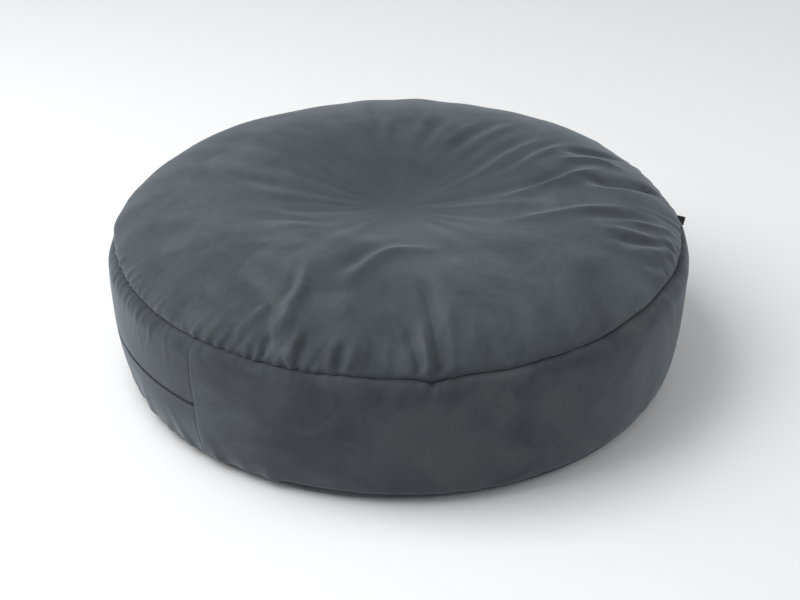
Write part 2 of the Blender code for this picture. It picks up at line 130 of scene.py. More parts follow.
@dataclass(frozen=True)
class Outline:
    """Half section of the filled cushion, with its heights taken from the frame."""

    seam_radius: float = 0.500
    belly_radius: float = 0.519
    belly_drop: float = 0.030
    foot_radius: float = 0.485
    foot_round: float = 0.024
    crown_radius: float = 0.295
    dip: float = 0.042
    shoulder: float = 0.56
    tuck: float = 0.60
    seam_height: float = field(default_factory=lambda: middle_height("top_seam_thread"))
    foot_height: float = field(default_factory=lambda: middle_height("bottom_seam_thread"))
    crown_height: float = field(default_factory=lambda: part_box("cover_top_panel")[1].z)
    floor: float = field(default_factory=lambda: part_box("cover_bottom_panel")[0].z)

    def top_height(self, radius: np.ndarray) -> np.ndarray:
        """Height of the top panel at a radius."""
        inner = np.clip(radius / self.crown_radius, 0, 1)
        dished = self.crown_height - self.dip * 0.5 * (1 + np.cos(math.pi * inner))
        share = np.clip((radius - self.crown_radius) / (self.seam_radius - self.crown_radius), 0, 1)
        rise = self.crown_height - self.seam_height
        domed = self.seam_height + rise * (1 - share ** 2) ** self.shoulder
        return np.where(radius < self.crown_radius, dished, domed)

    def band_radius(self, height: np.ndarray) -> np.ndarray:
        """Radius of the band at a height."""
        belly = self.seam_height - self.belly_drop
        above = np.clip((height - belly) / self.belly_drop, 0, 1)
        below = np.clip((belly - height) / (belly - self.foot_height), 0, 1)
        lip = self.seam_radius + (self.belly_radius - self.seam_radius) * np.sqrt(1 - above ** 2)
        out = self.belly_radius - self.foot_radius
        wall = self.foot_radius + out * (1 - below ** 2) ** self.tuck
        return np.where(height >= belly, lip, wall)

    def top_line(self, count: int) -> np.ndarray:
        """Evenly spaced (radius, height) from the middle out to the top seam."""
        share = 1 - (1 - np.linspace(0, 1, 2000)) ** 2
        radius = self.seam_radius * share
        return spaced(np.stack([radius, self.top_height(radius)], 1), count)

    def band_line(self, count: int) -> np.ndarray:
        """Evenly spaced (radius, height) from the top seam down to the bottom seam."""
        share = 0.5 - 0.5 * np.cos(np.linspace(0, math.pi, 2000))
        height = self.seam_height + (self.foot_height - self.seam_height) * share
        return spaced(np.stack([self.band_radius(height), height], 1), count)

    def top_run(self, count: int) -> np.ndarray:
        """Distance of each row of the top panel from the top seam."""
        return run_back(self.top_line(count))

    def band_run(self, count: int) -> np.ndarray:
        """Distance of each row of the band from the top seam."""
        return run_back(self.band_line(count)[::-1])[::-1]

    def lean(self, height: float) -> float:
        """Angle by which the band leans out from upright at a height."""
        small = 0.001
        above, below = self.band_radius(np.array([height + small, height - small]))
        return math.atan2(above - below, 2 * small)


def spaced(line: np.ndarray, count: int) -> np.ndarray:
    """Line of points resampled at even steps of its own length."""
    steps = np.linalg.norm(np.diff(line, axis=0), axis=1)
    run = np.concatenate([[0.0], np.cumsum(steps)])
    wanted = np.linspace(0, run[-1], count)
    return np.stack([np.interp(wanted, run, column) for column in line.T], 1)


@dataclass(frozen=True)
class Fold:
    """Ridge, or valley where its height is negative, along a line of (azimuth, radius)."""

    line: tuple[Visit, ...]
    height: float
    width: float
    crease: float = 0.0
    lead: float = 0.4
    trail: float = 0.4

    def lift(self, place: np.ndarray) -> np.ndarray:
        """Rise above the plain outline at plan positions.

        Args:
            place: Array of (x, y) in its last axis.

        Returns:
            One height for each position.
        """
        polar = np.array(self.line)
        turn = np.radians(polar[:, 0])
        corners = polar[:, 1:] * np.stack([np.cos(turn), np.sin(turn)], 1)
        path = spaced(rounded_path(corners), 24)
        best = np.full(place.shape[:-1], 1e9)
        share = np.zeros(place.shape[:-1])
        for index, (start, end) in enumerate(zip(path, path[1:])):
            step = end - start
            along = np.clip(((place - start) @ step) / (step @ step), 0, 1)
            away = np.linalg.norm(place - start - along[..., None] * step, axis=-1)
            nearer = away < best
            best = np.where(nearer, away, best)
            share = np.where(nearer, (index + along) / (len(path) - 1), share)
        soft = np.exp(-(best / self.width) ** 2)
        sharp = np.exp(-1.6 * best / self.width)
        taper = ease(share / max(self.lead, 1e-6)) * ease((1 - share) / max(self.trail, 1e-6))
        return self.height * taper * (soft + (sharp - soft) * self.crease)


def rounded_path(corners: np.ndarray) -> np.ndarray:
    """Smooth line of points through a few corners."""
    if len(corners) < 3:
        return spaced(corners, 24)
    places = np.linspace(0, len(corners) - 1, 40)
    return cubic(corners[:, None, :], places, closed=False)[:, 0, :]


def ridge(*line: Visit, height: float = 0.004, width: float = 0.010, **more: float) -> Fold:
    """Raised fold along a line."""
    return Fold(line, height, width, **more)


def valley(*line: Visit, depth: float = 0.004, width: float = 0.010, **more: float) -> Fold:
    """Sunken fold along a line."""
    return Fold(line, -depth, width, **more)


RIGHT_FOLDS = (
    ridge((-10, 0.15), (-5, 0.22), (2, 0.28), (8, 0.33), (14, 0.4), height=0.013, width=0.017, crease=0.7),
    valley((-4, 0.2), (4, 0.26), (13, 0.32), (20, 0.37), depth=0.008, width=0.017),
    valley((4, 0.31), (5, 0.37), (7, 0.43), (10, 0.485), depth=0.015, width=0.017, trail=0.15),
    ridge((20, 0.3), (17, 0.385), (15, 0.44), height=0.008, width=0.012, crease=0.5),
    valley((26, 0.32), (24, 0.4), (22, 0.46), depth=0.01, width=0.013),
    ridge((-40, 0.2), (-27, 0.275), (-14, 0.36), (-6, 0.43), height=0.008, width=0.014, crease=0.5),
    valley((-24, 0.32), (-14, 0.4), (-8, 0.46), depth=0.004, width=0.012),
    ridge((-24, 0.36), (-21, 0.41), (-17, 0.46), (-12, 0.495), height=0.006, width=0.01, trail=0.1),
    ridge((-28, 0.4), (-25, 0.45), (-15, 0.495), height=0.007, width=0.011, trail=0.1),
    valley((-27, 0.38), (-21, 0.445), (-14, 0.49), depth=0.006, width=0.01, trail=0.1),
    ridge((-16, 0.4), (-12, 0.45), (-8, 0.49), height=0.004, width=0.007, crease=0.6, trail=0.1),
    valley((-27, 0.465), (-22, 0.495), depth=0.004, width=0.008, trail=0.0),
)
FRONT_FOLDS = (
    ridge((-105, 0.385), (-102, 0.335), (-99, 0.295), (-93, 0.25), (-82, 0.245), (-71, 0.27),
          height=0.01, width=0.018, crease=0.35, lead=0.25),
    valley((-107, 0.36), (-105, 0.285), (-99, 0.215), (-84, 0.205), depth=0.01, width=0.018),
    valley((-67, 0.21), (-73, 0.32), depth=0.003, width=0.009),
    ridge((-116, 0.485), (-114, 0.455), (-114, 0.43), (-114, 0.385), (-120, 0.3),
          height=0.01, width=0.013, crease=0.3, lead=0.1),
    valley((-118, 0.46), (-117, 0.42), (-117, 0.38), (-121, 0.325), depth=0.006, width=0.011),
    valley((-116.5, 0.5), (-114.5, 0.48), depth=0.01, width=0.008, lead=0.0),
    ridge((-123, 0.49), (-120, 0.455), (-117.5, 0.42), height=0.006, width=0.01, lead=0.1),
    valley((-83.5, 0.34), (-83, 0.4), (-82.5, 0.45), (-82, 0.5), depth=0.014, width=0.011, trail=0.0),
    ridge((-85, 0.43), (-85, 0.47), (-84.5, 0.5), height=0.009, width=0.0065, crease=0.4, trail=0.0),
    valley((-89, 0.445), (-87, 0.475), (-86, 0.5), depth=0.009, width=0.008, trail=0.0),
    ridge((-79, 0.41), (-79.5, 0.46), (-80, 0.5), height=0.005, width=0.009, trail=0.0),
    valley((-82, 0.475), (-79, 0.495), depth=0.002, width=0.003, trail=0.1),
    valley((-69, 0.475), (-69, 0.5), depth=0.004, width=0.009, trail=0.0),
    ridge((-92, 0.5), (-92, 0.44), height=0.004, width=0.009, lead=0.0, trail=0.7),
    valley((-95, 0.5), (-95, 0.45), depth=0.004, width=0.008, lead=0.0, trail=0.7),
    ridge((-99, 0.5), (-98, 0.46), height=0.006, width=0.008, lead=0.0, trail=0.7),
    valley((-101, 0.5), (-100, 0.455), depth=0.006, width=0.008, lead=0.0, trail=0.7),
    ridge((-103, 0.5), (-102, 0.46), height=0.005, width=0.007, lead=0.0, trail=0.7),
    ridge((-111, 0.5), (-109, 0.45), height=0.008, width=0.008, lead=0.0, trail=0.7),
    valley((-109, 0.5), (-107, 0.46), depth=0.006, width=0.007, lead=0.0, trail=0.7),
)
LEFT_FOLDS = (
    ridge((178, 0.31), (-175, 0.23), (-163, 0.15), height=0.0015, width=0.016),
    ridge((-159, 0.3), (-155, 0.23), (-138, 0.17), height=0.0025, width=0.015),
    valley((-152, 0.3), (-147, 0.23), (-133, 0.17), depth=0.002, width=0.0135),
    ridge((-143, 0.31), (-139, 0.225), (-124, 0.17), height=0.0025, width=0.015),
    ridge((-132, 0.36), (-128, 0.305), (-121, 0.23), height=0.002, width=0.015),
    ridge((-141, 0.37), (-138, 0.33), (-132, 0.29), height=0.0015, width=0.012),
    ridge((168, 0.32), (171, 0.25), (169, 0.19), height=0.0015, width=0.015),
    valley((174, 0.3), (176, 0.25), (178, 0.19), depth=0.0015, width=0.015),
)
BACK_FOLDS = (
    ridge((100, 0.32), (104, 0.22), height=0.002, width=0.0115),
    ridge((93, 0.3), (101, 0.16), height=0.003, width=0.0115),
    ridge((87, 0.32), (85, 0.2), height=0.003, width=0.0125),
    ridge((79, 0.33), (80, 0.24), (86, 0.17), height=0.0035, width=0.0125),
    valley((74, 0.3), (75, 0.22), (80, 0.15), depth=0.0035, width=0.0125),
    ridge((67, 0.31), (71, 0.205), (76, 0.14), height=0.0035, width=0.0125),
    ridge((59, 0.33), (63, 0.24), (68, 0.15), height=0.0035, width=0.0115),
    valley((54, 0.36), (57, 0.25), (62, 0.15), depth=0.0035, width=0.0125),
    ridge((49, 0.37), (51, 0.26), (52, 0.15), height=0.004, width=0.0125),
    valley((40, 0.36), (38, 0.22), (26, 0.11), depth=0.0055, width=0.014),
    ridge((36, 0.36), (32, 0.22), (14, 0.11), height=0.004, width=0.0125, crease=0.4),
    valley((33, 0.38), (28, 0.27), (18, 0.18), depth=0.0035, width=0.0115),
    ridge((30, 0.37), (25, 0.28), (14, 0.2), height=0.004, width=0.0115),
)


@dataclass(frozen=True)
class Gather:
    """Row of small puckers that a sewn edge pulls into one side of the cloth."""

    start: float
    end: float
    pitch: float
    height: float
    length: float
    lean: float = 0.0
    seed: int = 1

    def lift(self, azimuth: np.ndarray, away: np.ndarray, radius: float) -> np.ndarray:
        """Rise of the puckers.

        Args:
            azimuth: Degrees, in any shape.
            away: Distance from the sewn edge, in the same shape.
            radius: Radius of the sewn edge.

        Returns:
            Heights in the same shape.
        """
        draw = np.random.default_rng(self.seed)
        total = np.zeros(azimuth.shape)
        arc = math.radians(1) * radius
        span = (self.end - self.start) % 360.0
        place = 0.0
        while place < span:
            tall = self.height * draw.uniform(0.35, 1.25)
            long = self.length * draw.uniform(0.45, 1.35)
            wide = self.pitch * draw.uniform(0.24, 0.36)
            slant = self.lean + draw.normal(0.0, 0.25)
            edge = ease(np.array(min(place, span - place) / max(0.12 * span, 1e-6))).item()
            across = turn_between(azimuth, self.start + place) * arc - slant * away
            fall = np.exp(-(away / long) ** 1.5)
            wave = np.exp(-(across / wide) ** 2) - 0.45 * np.exp(-(across / (2.2 * wide)) ** 2)
            total += tall * edge * fall * wave
            place += self.pitch / arc * draw.uniform(0.6, 1.5)
        return total


def slow_wave(azimuth: np.ndarray, seed: int, lowest: int, highest: int) -> np.ndarray:
    """Uneven closed wave round the cushion, about 1 high, of seeded whole turns."""
    draw = np.random.default_rng(seed)
    turn = np.radians(azimuth)
    total = np.zeros(azimuth.shape)
    for count in range(lowest, highest + 1):
        total += draw.normal() * np.cos(count * turn + draw.uniform(0, 2 * math.pi))
    return total / math.sqrt(highest - lowest + 1)


@dataclass
class ClothForm:
    """Cover's cloth pulled over the filling, with placed folds and slow lumps."""

    outline: Outline
    columns: int = 480
    top_rows: int = 68
    band_rows: int = 30
    fold_share: float = 0.9
    pinch_azimuth: float = -84.0
    pinch_drop: float = 0.010
    pinch_width: float = 2.2
    seam_rise: float = 0.006
    bulge_reach: float = 0.018
    overhang: float = 0.003
    left_overhang: float = 0.009
    right_overhang: float = 0.0045
    band_swell: float = 0.005
    seam_swell: float = 0.0015
    thinnest_ring: int = 30
    top: np.ndarray = field(init=False, repr=False)
    band: np.ndarray = field(init=False, repr=False)

    def azimuths(self, count: int) -> np.ndarray:
        """Degrees of evenly spaced columns."""
        return np.arange(count) * 360.0 / count

    def ring_counts(self, radii: np.ndarray, full: int) -> list[int]:
        """Number of points on each ring, halved towards the middle."""
        counts = []
        for radius in radii:
            count = full
            while count > self.thinnest_ring and radius < 0.52 * self.outline.seam_radius * count / full:
                count //= 2
            counts.append(count)
        return counts

    def seam_offset(self, azimuth: np.ndarray) -> np.ndarray:
        """Up and down waver of the top seam."""
        pinch = np.exp(-(np.abs(turn_between(azimuth, self.pinch_azimuth)) / self.pinch_width))
        rise = self.seam_rise * hump(azimuth, -32.0, 17.0)
        return 0.0011 * slow_wave(azimuth, 5, 7, 34) + rise - self.pinch_drop * pinch

    def unevenness(self, azimuth: np.ndarray, away: np.ndarray) -> np.ndarray:
        """Slow lumps of the filling, which show in the cushion's outline."""
        high = 0.0022 * slow_wave(azimuth, 31, 3, 11) + 0.0013 * slow_wave(azimuth, 32, 12, 30)
        low = 0.0014 * slow_wave(azimuth, 33, 3, 12) + 0.0008 * slow_wave(azimuth, 34, 13, 32)
        share = ease(away / 0.30)[:, None]
        return high * (1 - share) + low * share

    def bulge(self, azimuth: np.ndarray, away: np.ndarray, above: bool) -> np.ndarray:
        """How far the cloth on one side of the top seam swells out past it."""
        share = (away / self.bulge_reach)[:, None]
        rise = share * np.exp(1 - share)
        right = hump(azimuth, 4.0, 20.0)
        near = self.seam_swell * right * np.exp(-(share / 3) ** 2)
        if not above:
            return near + self.band_swell * right * rise
        left = self.left_overhang * hump(azimuth, 168.0, 27.0, power=4)
        far_right = self.right_overhang * hump(azimuth, 14.0, 27.0, power=4)
        return near + (self.overhang + left + far_right) * rise

    def shaped(self, line: np.ndarray, away: np.ndarray, folded: bool) -> np.ndarray:
        """Grid of points turned from a half section, with its lumps and folds.

        Args:
            line: (radius, height) of each row.
            away: Distance of each row from the top seam.
            folded: True on the top panel, which carries the placed folds.

        Returns:
            Grid of positions.
        """
        azimuth = self.azimuths(self.columns)
        turn = np.radians(azimuth)
        out = np.stack([np.cos(turn), np.sin(turn)], 1)
        grid = np.zeros((len(line), self.columns, 3))
        grid[..., :2] = line[:, None, :1] * out
        grid[..., 2] = line[:, 1:]
        near = np.exp(-away / 0.03)[:, None]
        grid[..., 2] += self.seam_offset(azimuth) * near
        grid[..., :2] += out * self.bulge(azimuth, away, folded)[..., None]
        reach = away if folded else 0.30 + away
        lump = self.unevenness(azimuth, reach) * ease(away / 0.02)[:, None]
        lump *= ease(line[:, :1] / 0.2) if folded else ZipLine.freedom(azimuth, line[:, 1:])
        grid += normals(grid) * lump[..., None]
        if folded:
            lift = np.zeros(grid.shape[:2])
            for fold in (*RIGHT_FOLDS, *FRONT_FOLDS, *LEFT_FOLDS, *BACK_FOLDS):
                lift += fold.lift(grid[..., :2])
            lift *= self.fold_share * (0.15 + 0.85 * ease(away / 0.014))[:, None]
            lift *= ease((line[:, :1] - 0.09) / 0.19)
            grid += normals(grid) * lift[..., None]
        return grid

    def build(self) -> None:
        """Make the top and band grids, which share the row at the top seam."""
        top_line = self.outline.top_line(self.top_rows + 1)
        band_line = self.outline.band_line(self.band_rows + 1)
        top = self.shaped(top_line, self.outline.top_run(len(top_line)), folded=True)
        band = self.shaped(band_line, self.outline.band_run(len(band_line)), folded=False)
        radii = np.concatenate([top_line[:, 0], band_line[1:, 0]])
        counts = [1, *self.ring_counts(radii, self.columns)[1:]]
        rings = ring_points(np.concatenate([top, band[1:]]), counts)
        whole = unring(rings, counts, self.columns)
        self.top, self.band = whole[: self.top_rows + 1], whole[self.top_rows:]
        LOG.info("cloth form: %d by %d points", *whole.shape[:2])


def run_back(line: np.ndarray) -> np.ndarray:
    """Distance of each point of a line from its last one."""
    steps = np.linalg.norm(np.diff(line, axis=0), axis=1)
    return np.concatenate([np.cumsum(steps[::-1])[::-1], [0.0]])


def ring_points(grid: np.ndarray, counts: Sequence[int]) -> np.ndarray:
    """Points kept on the rings of a grid; a count of 1 is a pole."""
    columns = grid.shape[1]
    return np.concatenate([row[:: columns // count] if count > 1 else row.mean(0, keepdims=True)
                           for row, count in zip(grid, counts)])


def ring_mesh(grid: np.ndarray, counts: Sequence[int]) -> tuple[np.ndarray, list[Face]]:
    """Points and faces of rings that may have half as many points as the next.

    Args:
        grid: Positions with the full number of columns in each row.
        counts: Points kept on each ring; 1 is a pole.

    Returns:
        Points, and faces that look outwards.
    """
    starts = np.cumsum([0, *counts]).tolist()
    faces: list[Face] = []
    for index in range(len(counts) - 1):
        a, b = starts[index], starts[index + 1]
        m, n = counts[index], counts[index + 1]
        if m == n:
            faces += [(a + j, b + j, b + (j + 1) % n, a + (j + 1) % m) for j in range(m)]
        elif m == 1:
            faces += [(a, b + j, b + (j + 1) % n) for j in range(n)]
        elif n == 1:
            faces += [(a + j, b, a + (j + 1) % m) for j in range(m)]
        elif n == 2 * m:
            for j in range(m):
                left, right = a + j, a + (j + 1) % m
                c, d, e = b + 2 * j, b + 2 * j + 1, b + (2 * j + 2) % n
                faces += [(left, c, d), (left, d, right), (right, d, e)]
        else:
            for j in range(n):
                left, right = b + j, b + (j + 1) % n
                c, d, e = a + 2 * j, a + 2 * j + 1, a + (2 * j + 2) % m
                faces += [(c, left, d), (d, left, right), (d, right, e)]
    return ring_points(grid, counts), faces


def unring(points: np.ndarray, counts: Sequence[int], columns: int) -> np.ndarray:
    """Full grid again from rings of fewer points, smooth between them."""
    rows, start = [], 0
    for count in counts:
        ring = points[start: start + count]
        start += count
        if count == columns:
            rows.append(ring)
        elif count == 1:
            rows.append(np.repeat(ring, columns, axis=0))
        else:
            places = np.arange(columns) * count / columns
            rows.append(cubic(ring[:, None, :], places, closed=True)[:, 0, :])
    return np.stack(rows)


def strip_faces(rows: int, columns: int, closed: bool) -> list[Face]:
    """Quads of a grid whose rows run down and columns run anticlockwise."""
    last = columns if closed else columns - 1
    faces = []
    for i in range(rows - 1):
        for j in range(last):
            k = (j + 1) % columns
            faces.append((i * columns + j, (i + 1) * columns + j, (i + 1) * columns + k, i * columns + k))
    return faces


def new_piece(name: str, points: np.ndarray, faces: Sequence[Face], material: bpy.types.Material,
              replaced: Sequence[str] = (), body: str = "root") -> bpy.types.Object:
    """Object of the cushion, smooth shaded and riding on its body.

    Args:
        name: Piece name.
        points: Positions in the row frame.
        faces: Vertex numbers of each face.
        material: Finish.
        replaced: CAD nodes that it stands for.
        body: CAD body that it moves with.

    Returns:
        The new object.
    """
    mesh = bpy.data.meshes.new(name)
    mesh.from_pydata(points.reshape(-1, 3).tolist(), [], faces)
    mesh.materials.append(material)
    mesh.shade_smooth()
    piece = bpy.data.objects.new(name, mesh)
    bpy.context.scene.collection.objects.link(piece)
    settle(piece, replaced, body)
    return piece


def settle(piece: bpy.types.Object, replaced: Sequence[str], body: str = "root") -> None:
    """Give a finished piece its body and hide the CAD nodes that it stands for."""
    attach(piece, body)
    if replaced:
        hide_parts(*replaced)
    LOG.info("%s: %d faces on %s", piece.name, len(piece.data.polygons), body)


class Nodes:
    """Short way to place and join shader nodes in one tree."""

    def __init__(self, tree: bpy.types.NodeTree) -> None:
        """Keep the tree that the nodes go into."""
        self.tree = tree

    def add(self, kind: str, **values: object) -> bpy.types.Node:
        """New node; names of its properties are set, other names are its inputs."""
        node = self.tree.nodes.new(kind)
        for key, value in values.items():
            if hasattr(node, key):
                setattr(node, key, value)
            else:
                self.feed(node.inputs[key.replace("_", " ")], value)
        return node

    def feed(self, socket: bpy.types.NodeSocket, value: object) -> None:
        """Link a socket into another, or set its plain value."""
        if isinstance(value, bpy.types.NodeSocket):
            self.tree.links.new(value, socket)
        else:
            socket.default_value = value

    def math(self, operation: str, first: object, second: object = 0.0) -> bpy.types.NodeSocket:
        """Result of a Math node."""
        node = self.tree.nodes.new("ShaderNodeMath")
        node.operation = operation
        self.feed(node.inputs[0], first)
        self.feed(node.inputs[1], second)
        return node.outputs[0]

    def mixture(self, first: object, share: float, second: object, rest: float) -> bpy.types.NodeSocket:
        """Sum of two values, each times its own share."""
        return self.math("ADD", self.math("MULTIPLY", first, share), self.math("MULTIPLY", second, rest))

    def noise(self, place: bpy.types.NodeSocket, scale: object, detail: float = 2.0,
              distortion: float = 0.0) -> bpy.types.NodeSocket:
        """Value of a noise texture."""
        node = self.add("ShaderNodeTexNoise", Vector=place, Scale=scale, Detail=detail, Distortion=distortion)
        return node.outputs[0]

    def length(self, place: bpy.types.NodeSocket, middle: Place) -> bpy.types.NodeSocket:
        """Distance from a point."""
        node = self.tree.nodes.new("ShaderNodeVectorMath")
        node.operation = "DISTANCE"
        self.feed(node.inputs[0], place)
        node.inputs[1].default_value = middle
        return node.outputs["Value"]

    def blend(self, share: object, first: object, second: object) -> bpy.types.NodeSocket:
        """Colour between two colours."""
        node = self.tree.nodes.new("ShaderNodeMix")
        node.data_type = "RGBA"
        self.feed(node.inputs[0], share)
        self.feed(node.inputs[6], first)
        self.feed(node.inputs[7], second)
        return node.outputs[2]

    def spread(self, value: object, low: float, high: float) -> bpy.types.NodeSocket:
        """Value stretched so that low becomes 0 and high becomes 1, and clipped."""
        node = self.add("ShaderNodeMapRange")
        self.feed(node.inputs[0], value)
        self.feed(node.inputs[1], low)
        self.feed(node.inputs[2], high)
        return node.outputs[0]

    def bump(self, height: object, distance: float, strength: float) -> bpy.types.NodeSocket:
        """Normal of a bumped surface."""
        node = self.add("ShaderNodeBump", Height=height, Distance=distance, Strength=strength)
        return node.outputs[0]


class Effect(Enum):
    """Effects that several finishes share, each a node group."""

    NAP = "nap_patches"
    PILE = "pile_height"
    WEAVE = "weave_height"


def effect_group(effect: Effect) -> bpy.types.NodeTree:
    """Node group of an effect, built the first time that it is asked for.

    Args:
        effect: The wanted effect.

    Returns:
        Group with a Scale input and a Value output.
    """
    found = bpy.data.node_groups.get(effect.value)
    if found:
        return found
    group = bpy.data.node_groups.new(effect.value, "ShaderNodeTree")
    group.interface.new_socket("Vector", in_out="INPUT", socket_type="NodeSocketVector")
    group.interface.new_socket("Scale", in_out="INPUT", socket_type="NodeSocketFloat")
    group.interface.new_socket("Value", in_out="OUTPUT", socket_type="NodeSocketFloat")
    kit = Nodes(group)
    ends = group.nodes.new("NodeGroupInput")
    place, scale = ends.outputs[0], ends.outputs[1]
    if effect is Effect.NAP:
        whole = kit.noise(place, kit.math("MULTIPLY", scale, 0.32), detail=2.0, distortion=0.6)
        broad = kit.noise(place, scale, detail=8.0, distortion=1.3)
        small = kit.noise(place, kit.math("MULTIPLY", scale, 4.3), detail=5.0, distortion=1.4)
        small = kit.spread(small, 0.3, 0.7)
        fine = kit.noise(place, kit.math("MULTIPLY", scale, 40.0), detail=1.0)
        patch = kit.spread(kit.mixture(whole, 0.4, broad, 0.6), 0.43, 0.59)
        mixed = kit.mixture(patch, 0.62, small, 0.30)
        value = kit.math("ADD", mixed, kit.math("MULTIPLY", fine, 0.08))
    elif effect is Effect.PILE:
        tuft = kit.noise(place, scale, detail=2.0)
        lie = kit.noise(place, kit.math("MULTIPLY", scale, 0.16), detail=2.0, distortion=0.7)
        value = kit.mixture(tuft, 0.45, lie, 0.55)
    else:
        parts = kit.add("ShaderNodeSeparateXYZ", Vector=place)
        warp = kit.math("SINE", kit.math("MULTIPLY", parts.outputs[0], scale))
        weft = kit.math("SINE", kit.math("MULTIPLY", parts.outputs[1], scale))
        value = kit.math("ADD", kit.math("MULTIPLY", kit.math("MULTIPLY", warp, weft), 0.5), 0.5)
    result = group.nodes.new("NodeGroupOutput")
    group.links.new(value, result.inputs[0])
    return group


def placed(kit: Nodes, effect: Effect, place: bpy.types.NodeSocket, scale: float) -> bpy.types.NodeSocket:
    """Output of an effect's group placed in a material."""
    node = kit.tree.nodes.new("ShaderNodeGroup")
    node.node_tree = effect_group(effect)
    kit.feed(node.inputs[0], place)
    node.inputs[1].default_value = scale
    return node.outputs[0]


class Coordinates(Enum):
    """What a pattern follows."""

    OBJECT = "Object"
    UV = "UV"


def start_material(name: str, roughness: float, metallic: float = 0.0,
                   follow: Coordinates = Coordinates.OBJECT) -> tuple[bpy.types.Material, Nodes,
                                                                      bpy.types.Node, bpy.types.NodeSocket]:
    """Material with its shader set up.

    Args:
        name: Material name.
        roughness: Plain roughness.
        metallic: Plain metallic value.
        follow: Coordinates that its patterns use.

    Returns:
        The material, its node helper, its shader and the coordinates' socket.
    """
    material = bpy.data.materials.new(name)
    material.use_nodes = True
    shader = material.node_tree.nodes["Principled BSDF"]
    shader.inputs["Roughness"].default_value = roughness
    shader.inputs["Metallic"].default_value = metallic
    kit = Nodes(material.node_tree)
    place = kit.add("ShaderNodeTexCoord").outputs[follow.value]
    return material, kit, shader, place


@dataclass(frozen=True)
class Velvet:
    """Short dense pile in slate grey that lies in soft patches."""

    name: str = "slate_velvet"
    dark: Colour = (0.040, 0.047, 0.057)
    light: Colour = (0.080, 0.092, 0.099)
    # Painted shade: factor on both colours; below 1 it makes a darker copy of the velvet.
    painted_shade: float = 1.0
    # Painted shade: how strongly the middle of the top is darkened, standing in for the shade in its dip.
    painted_dip_shade: float = 0.72
    roughness: float = 0.85
    sheen: float = 0.30
    sheen_roughness: float = 0.42
    sheen_tint: Colour = (0.80, 0.88, 0.95)
    patch_scale: float = 7.0
    pile_scale: float = 520.0
    # Middle and reach of the painted shade in the dip of the top.
    painted_dip_shade_middle: Place = (0.0, 0.02, 0.30)
    painted_dip_shade_reach: tuple[float, float] = (0.34, 0.10)

    def build(self) -> bpy.types.Material:
        """Material of the cover's cloth."""
        material, kit, shader, place = start_material(self.name, self.roughness)
        nap = placed(kit, Effect.NAP, place, self.patch_scale)
        dark = (*(tone * self.painted_shade for tone in self.dark), 1)
        light = (*(tone * self.painted_shade for tone in self.light), 1)
        # Painted shade: the nap is pushed towards the dark colour around the middle of the top, standing in
        # for the shade in the dip; the band's copy has none.
        seat = kit.spread(kit.length(place, self.painted_dip_shade_middle), *self.painted_dip_shade_reach)
        nap = kit.math("MULTIPLY", nap, kit.math("SUBTRACT", 1.0, kit.math("MULTIPLY", seat, self.painted_dip_shade)))
        kit.feed(shader.inputs["Base Color"], kit.blend(nap, dark, light))
        shader.inputs["Sheen Weight"].default_value = self.sheen
        shader.inputs["Sheen Roughness"].default_value = self.sheen_roughness
        shader.inputs["Sheen Tint"].default_value = (*self.sheen_tint, 1)
        shader.inputs["Specular IOR Level"].default_value = 0.25
        pile = placed(kit, Effect.PILE, place, self.pile_scale)
        kit.feed(shader.inputs["Normal"], kit.bump(pile, 0.0004, 0.35))
        return material


@dataclass(frozen=True)
class Woven:
    """Plain woven cloth, with its threads as a fine bump."""

    name: str
    dark: Colour
    light: Colour
    roughness: float = 0.8
    threads: float = 9000.0
    sheen: float = 0.15

    def build(self) -> bpy.types.Material:
        """Material of a woven cloth."""
        material, kit, shader, place = start_material(self.name, self.roughness)
        weave = placed(kit, Effect.WEAVE, place, self.threads)
        patch = placed(kit, Effect.NAP, place, 30.0)
        share = kit.mixture(weave, 0.5, patch, 0.5)
        kit.feed(shader.inputs["Base Color"], kit.blend(share, (*self.dark, 1), (*self.light, 1)))
        kit.feed(shader.inputs["Normal"], kit.bump(weave, 0.0002, 0.6))
        shader.inputs["Sheen Weight"].default_value = self.sheen
        return material


@dataclass(frozen=True)
class Hard:
    """Painted metal or moulded nylon with slight wear."""

    name: str
    colour: Colour
    worn: Colour
    roughness: float = 0.35
    metallic: float = 0.0

    def build(self) -> bpy.types.Material:
        """Material of a small hard piece."""
        material, kit, shader, place = start_material(self.name, self.roughness, self.metallic)
        wear = kit.spread(kit.noise(place, 420.0, detail=3.0), 0.52, 0.78)
        kit.feed(shader.inputs["Base Color"], kit.blend(wear, (*self.colour, 1), (*self.worn, 1)))
        roughness = kit.math("ADD", kit.math("MULTIPLY", wear, 0.15), self.roughness)
        kit.feed(shader.inputs["Roughness"], roughness)
        kit.feed(shader.inputs["Normal"], kit.bump(kit.noise(place, 2600.0), 0.00006, 0.4))
        return material


@dataclass(frozen=True)
class Foam:
    """Small foam beads packed together."""

    name: str = "foam_beads"
    colour: Colour = (0.82, 0.82, 0.80)
    # Painted shade: colour that the beads fade to towards the gaps between them.
    painted_shade: Colour = (0.45, 0.45, 0.44)
    bead: float = 230.0

    def build(self) -> bpy.types.Material:
        """Material of the filling."""
        material, kit, shader, place = start_material(self.name, 0.9)
        cells = kit.add("ShaderNodeTexVoronoi", Vector=place, Scale=self.bead).outputs[0]
        round_top = kit.math("SUBTRACT", 1.0, cells)
        # Painted shade: darker towards the edge of each bead's cell, in the gaps between beads.
        kit.feed(shader.inputs["Base Color"],
                 kit.blend(kit.spread(round_top, 0.2, 0.7), (*self.painted_shade, 1), (*self.colour, 1)))
        kit.feed(shader.inputs["Normal"], kit.bump(round_top, 0.002, 0.8))
        return material


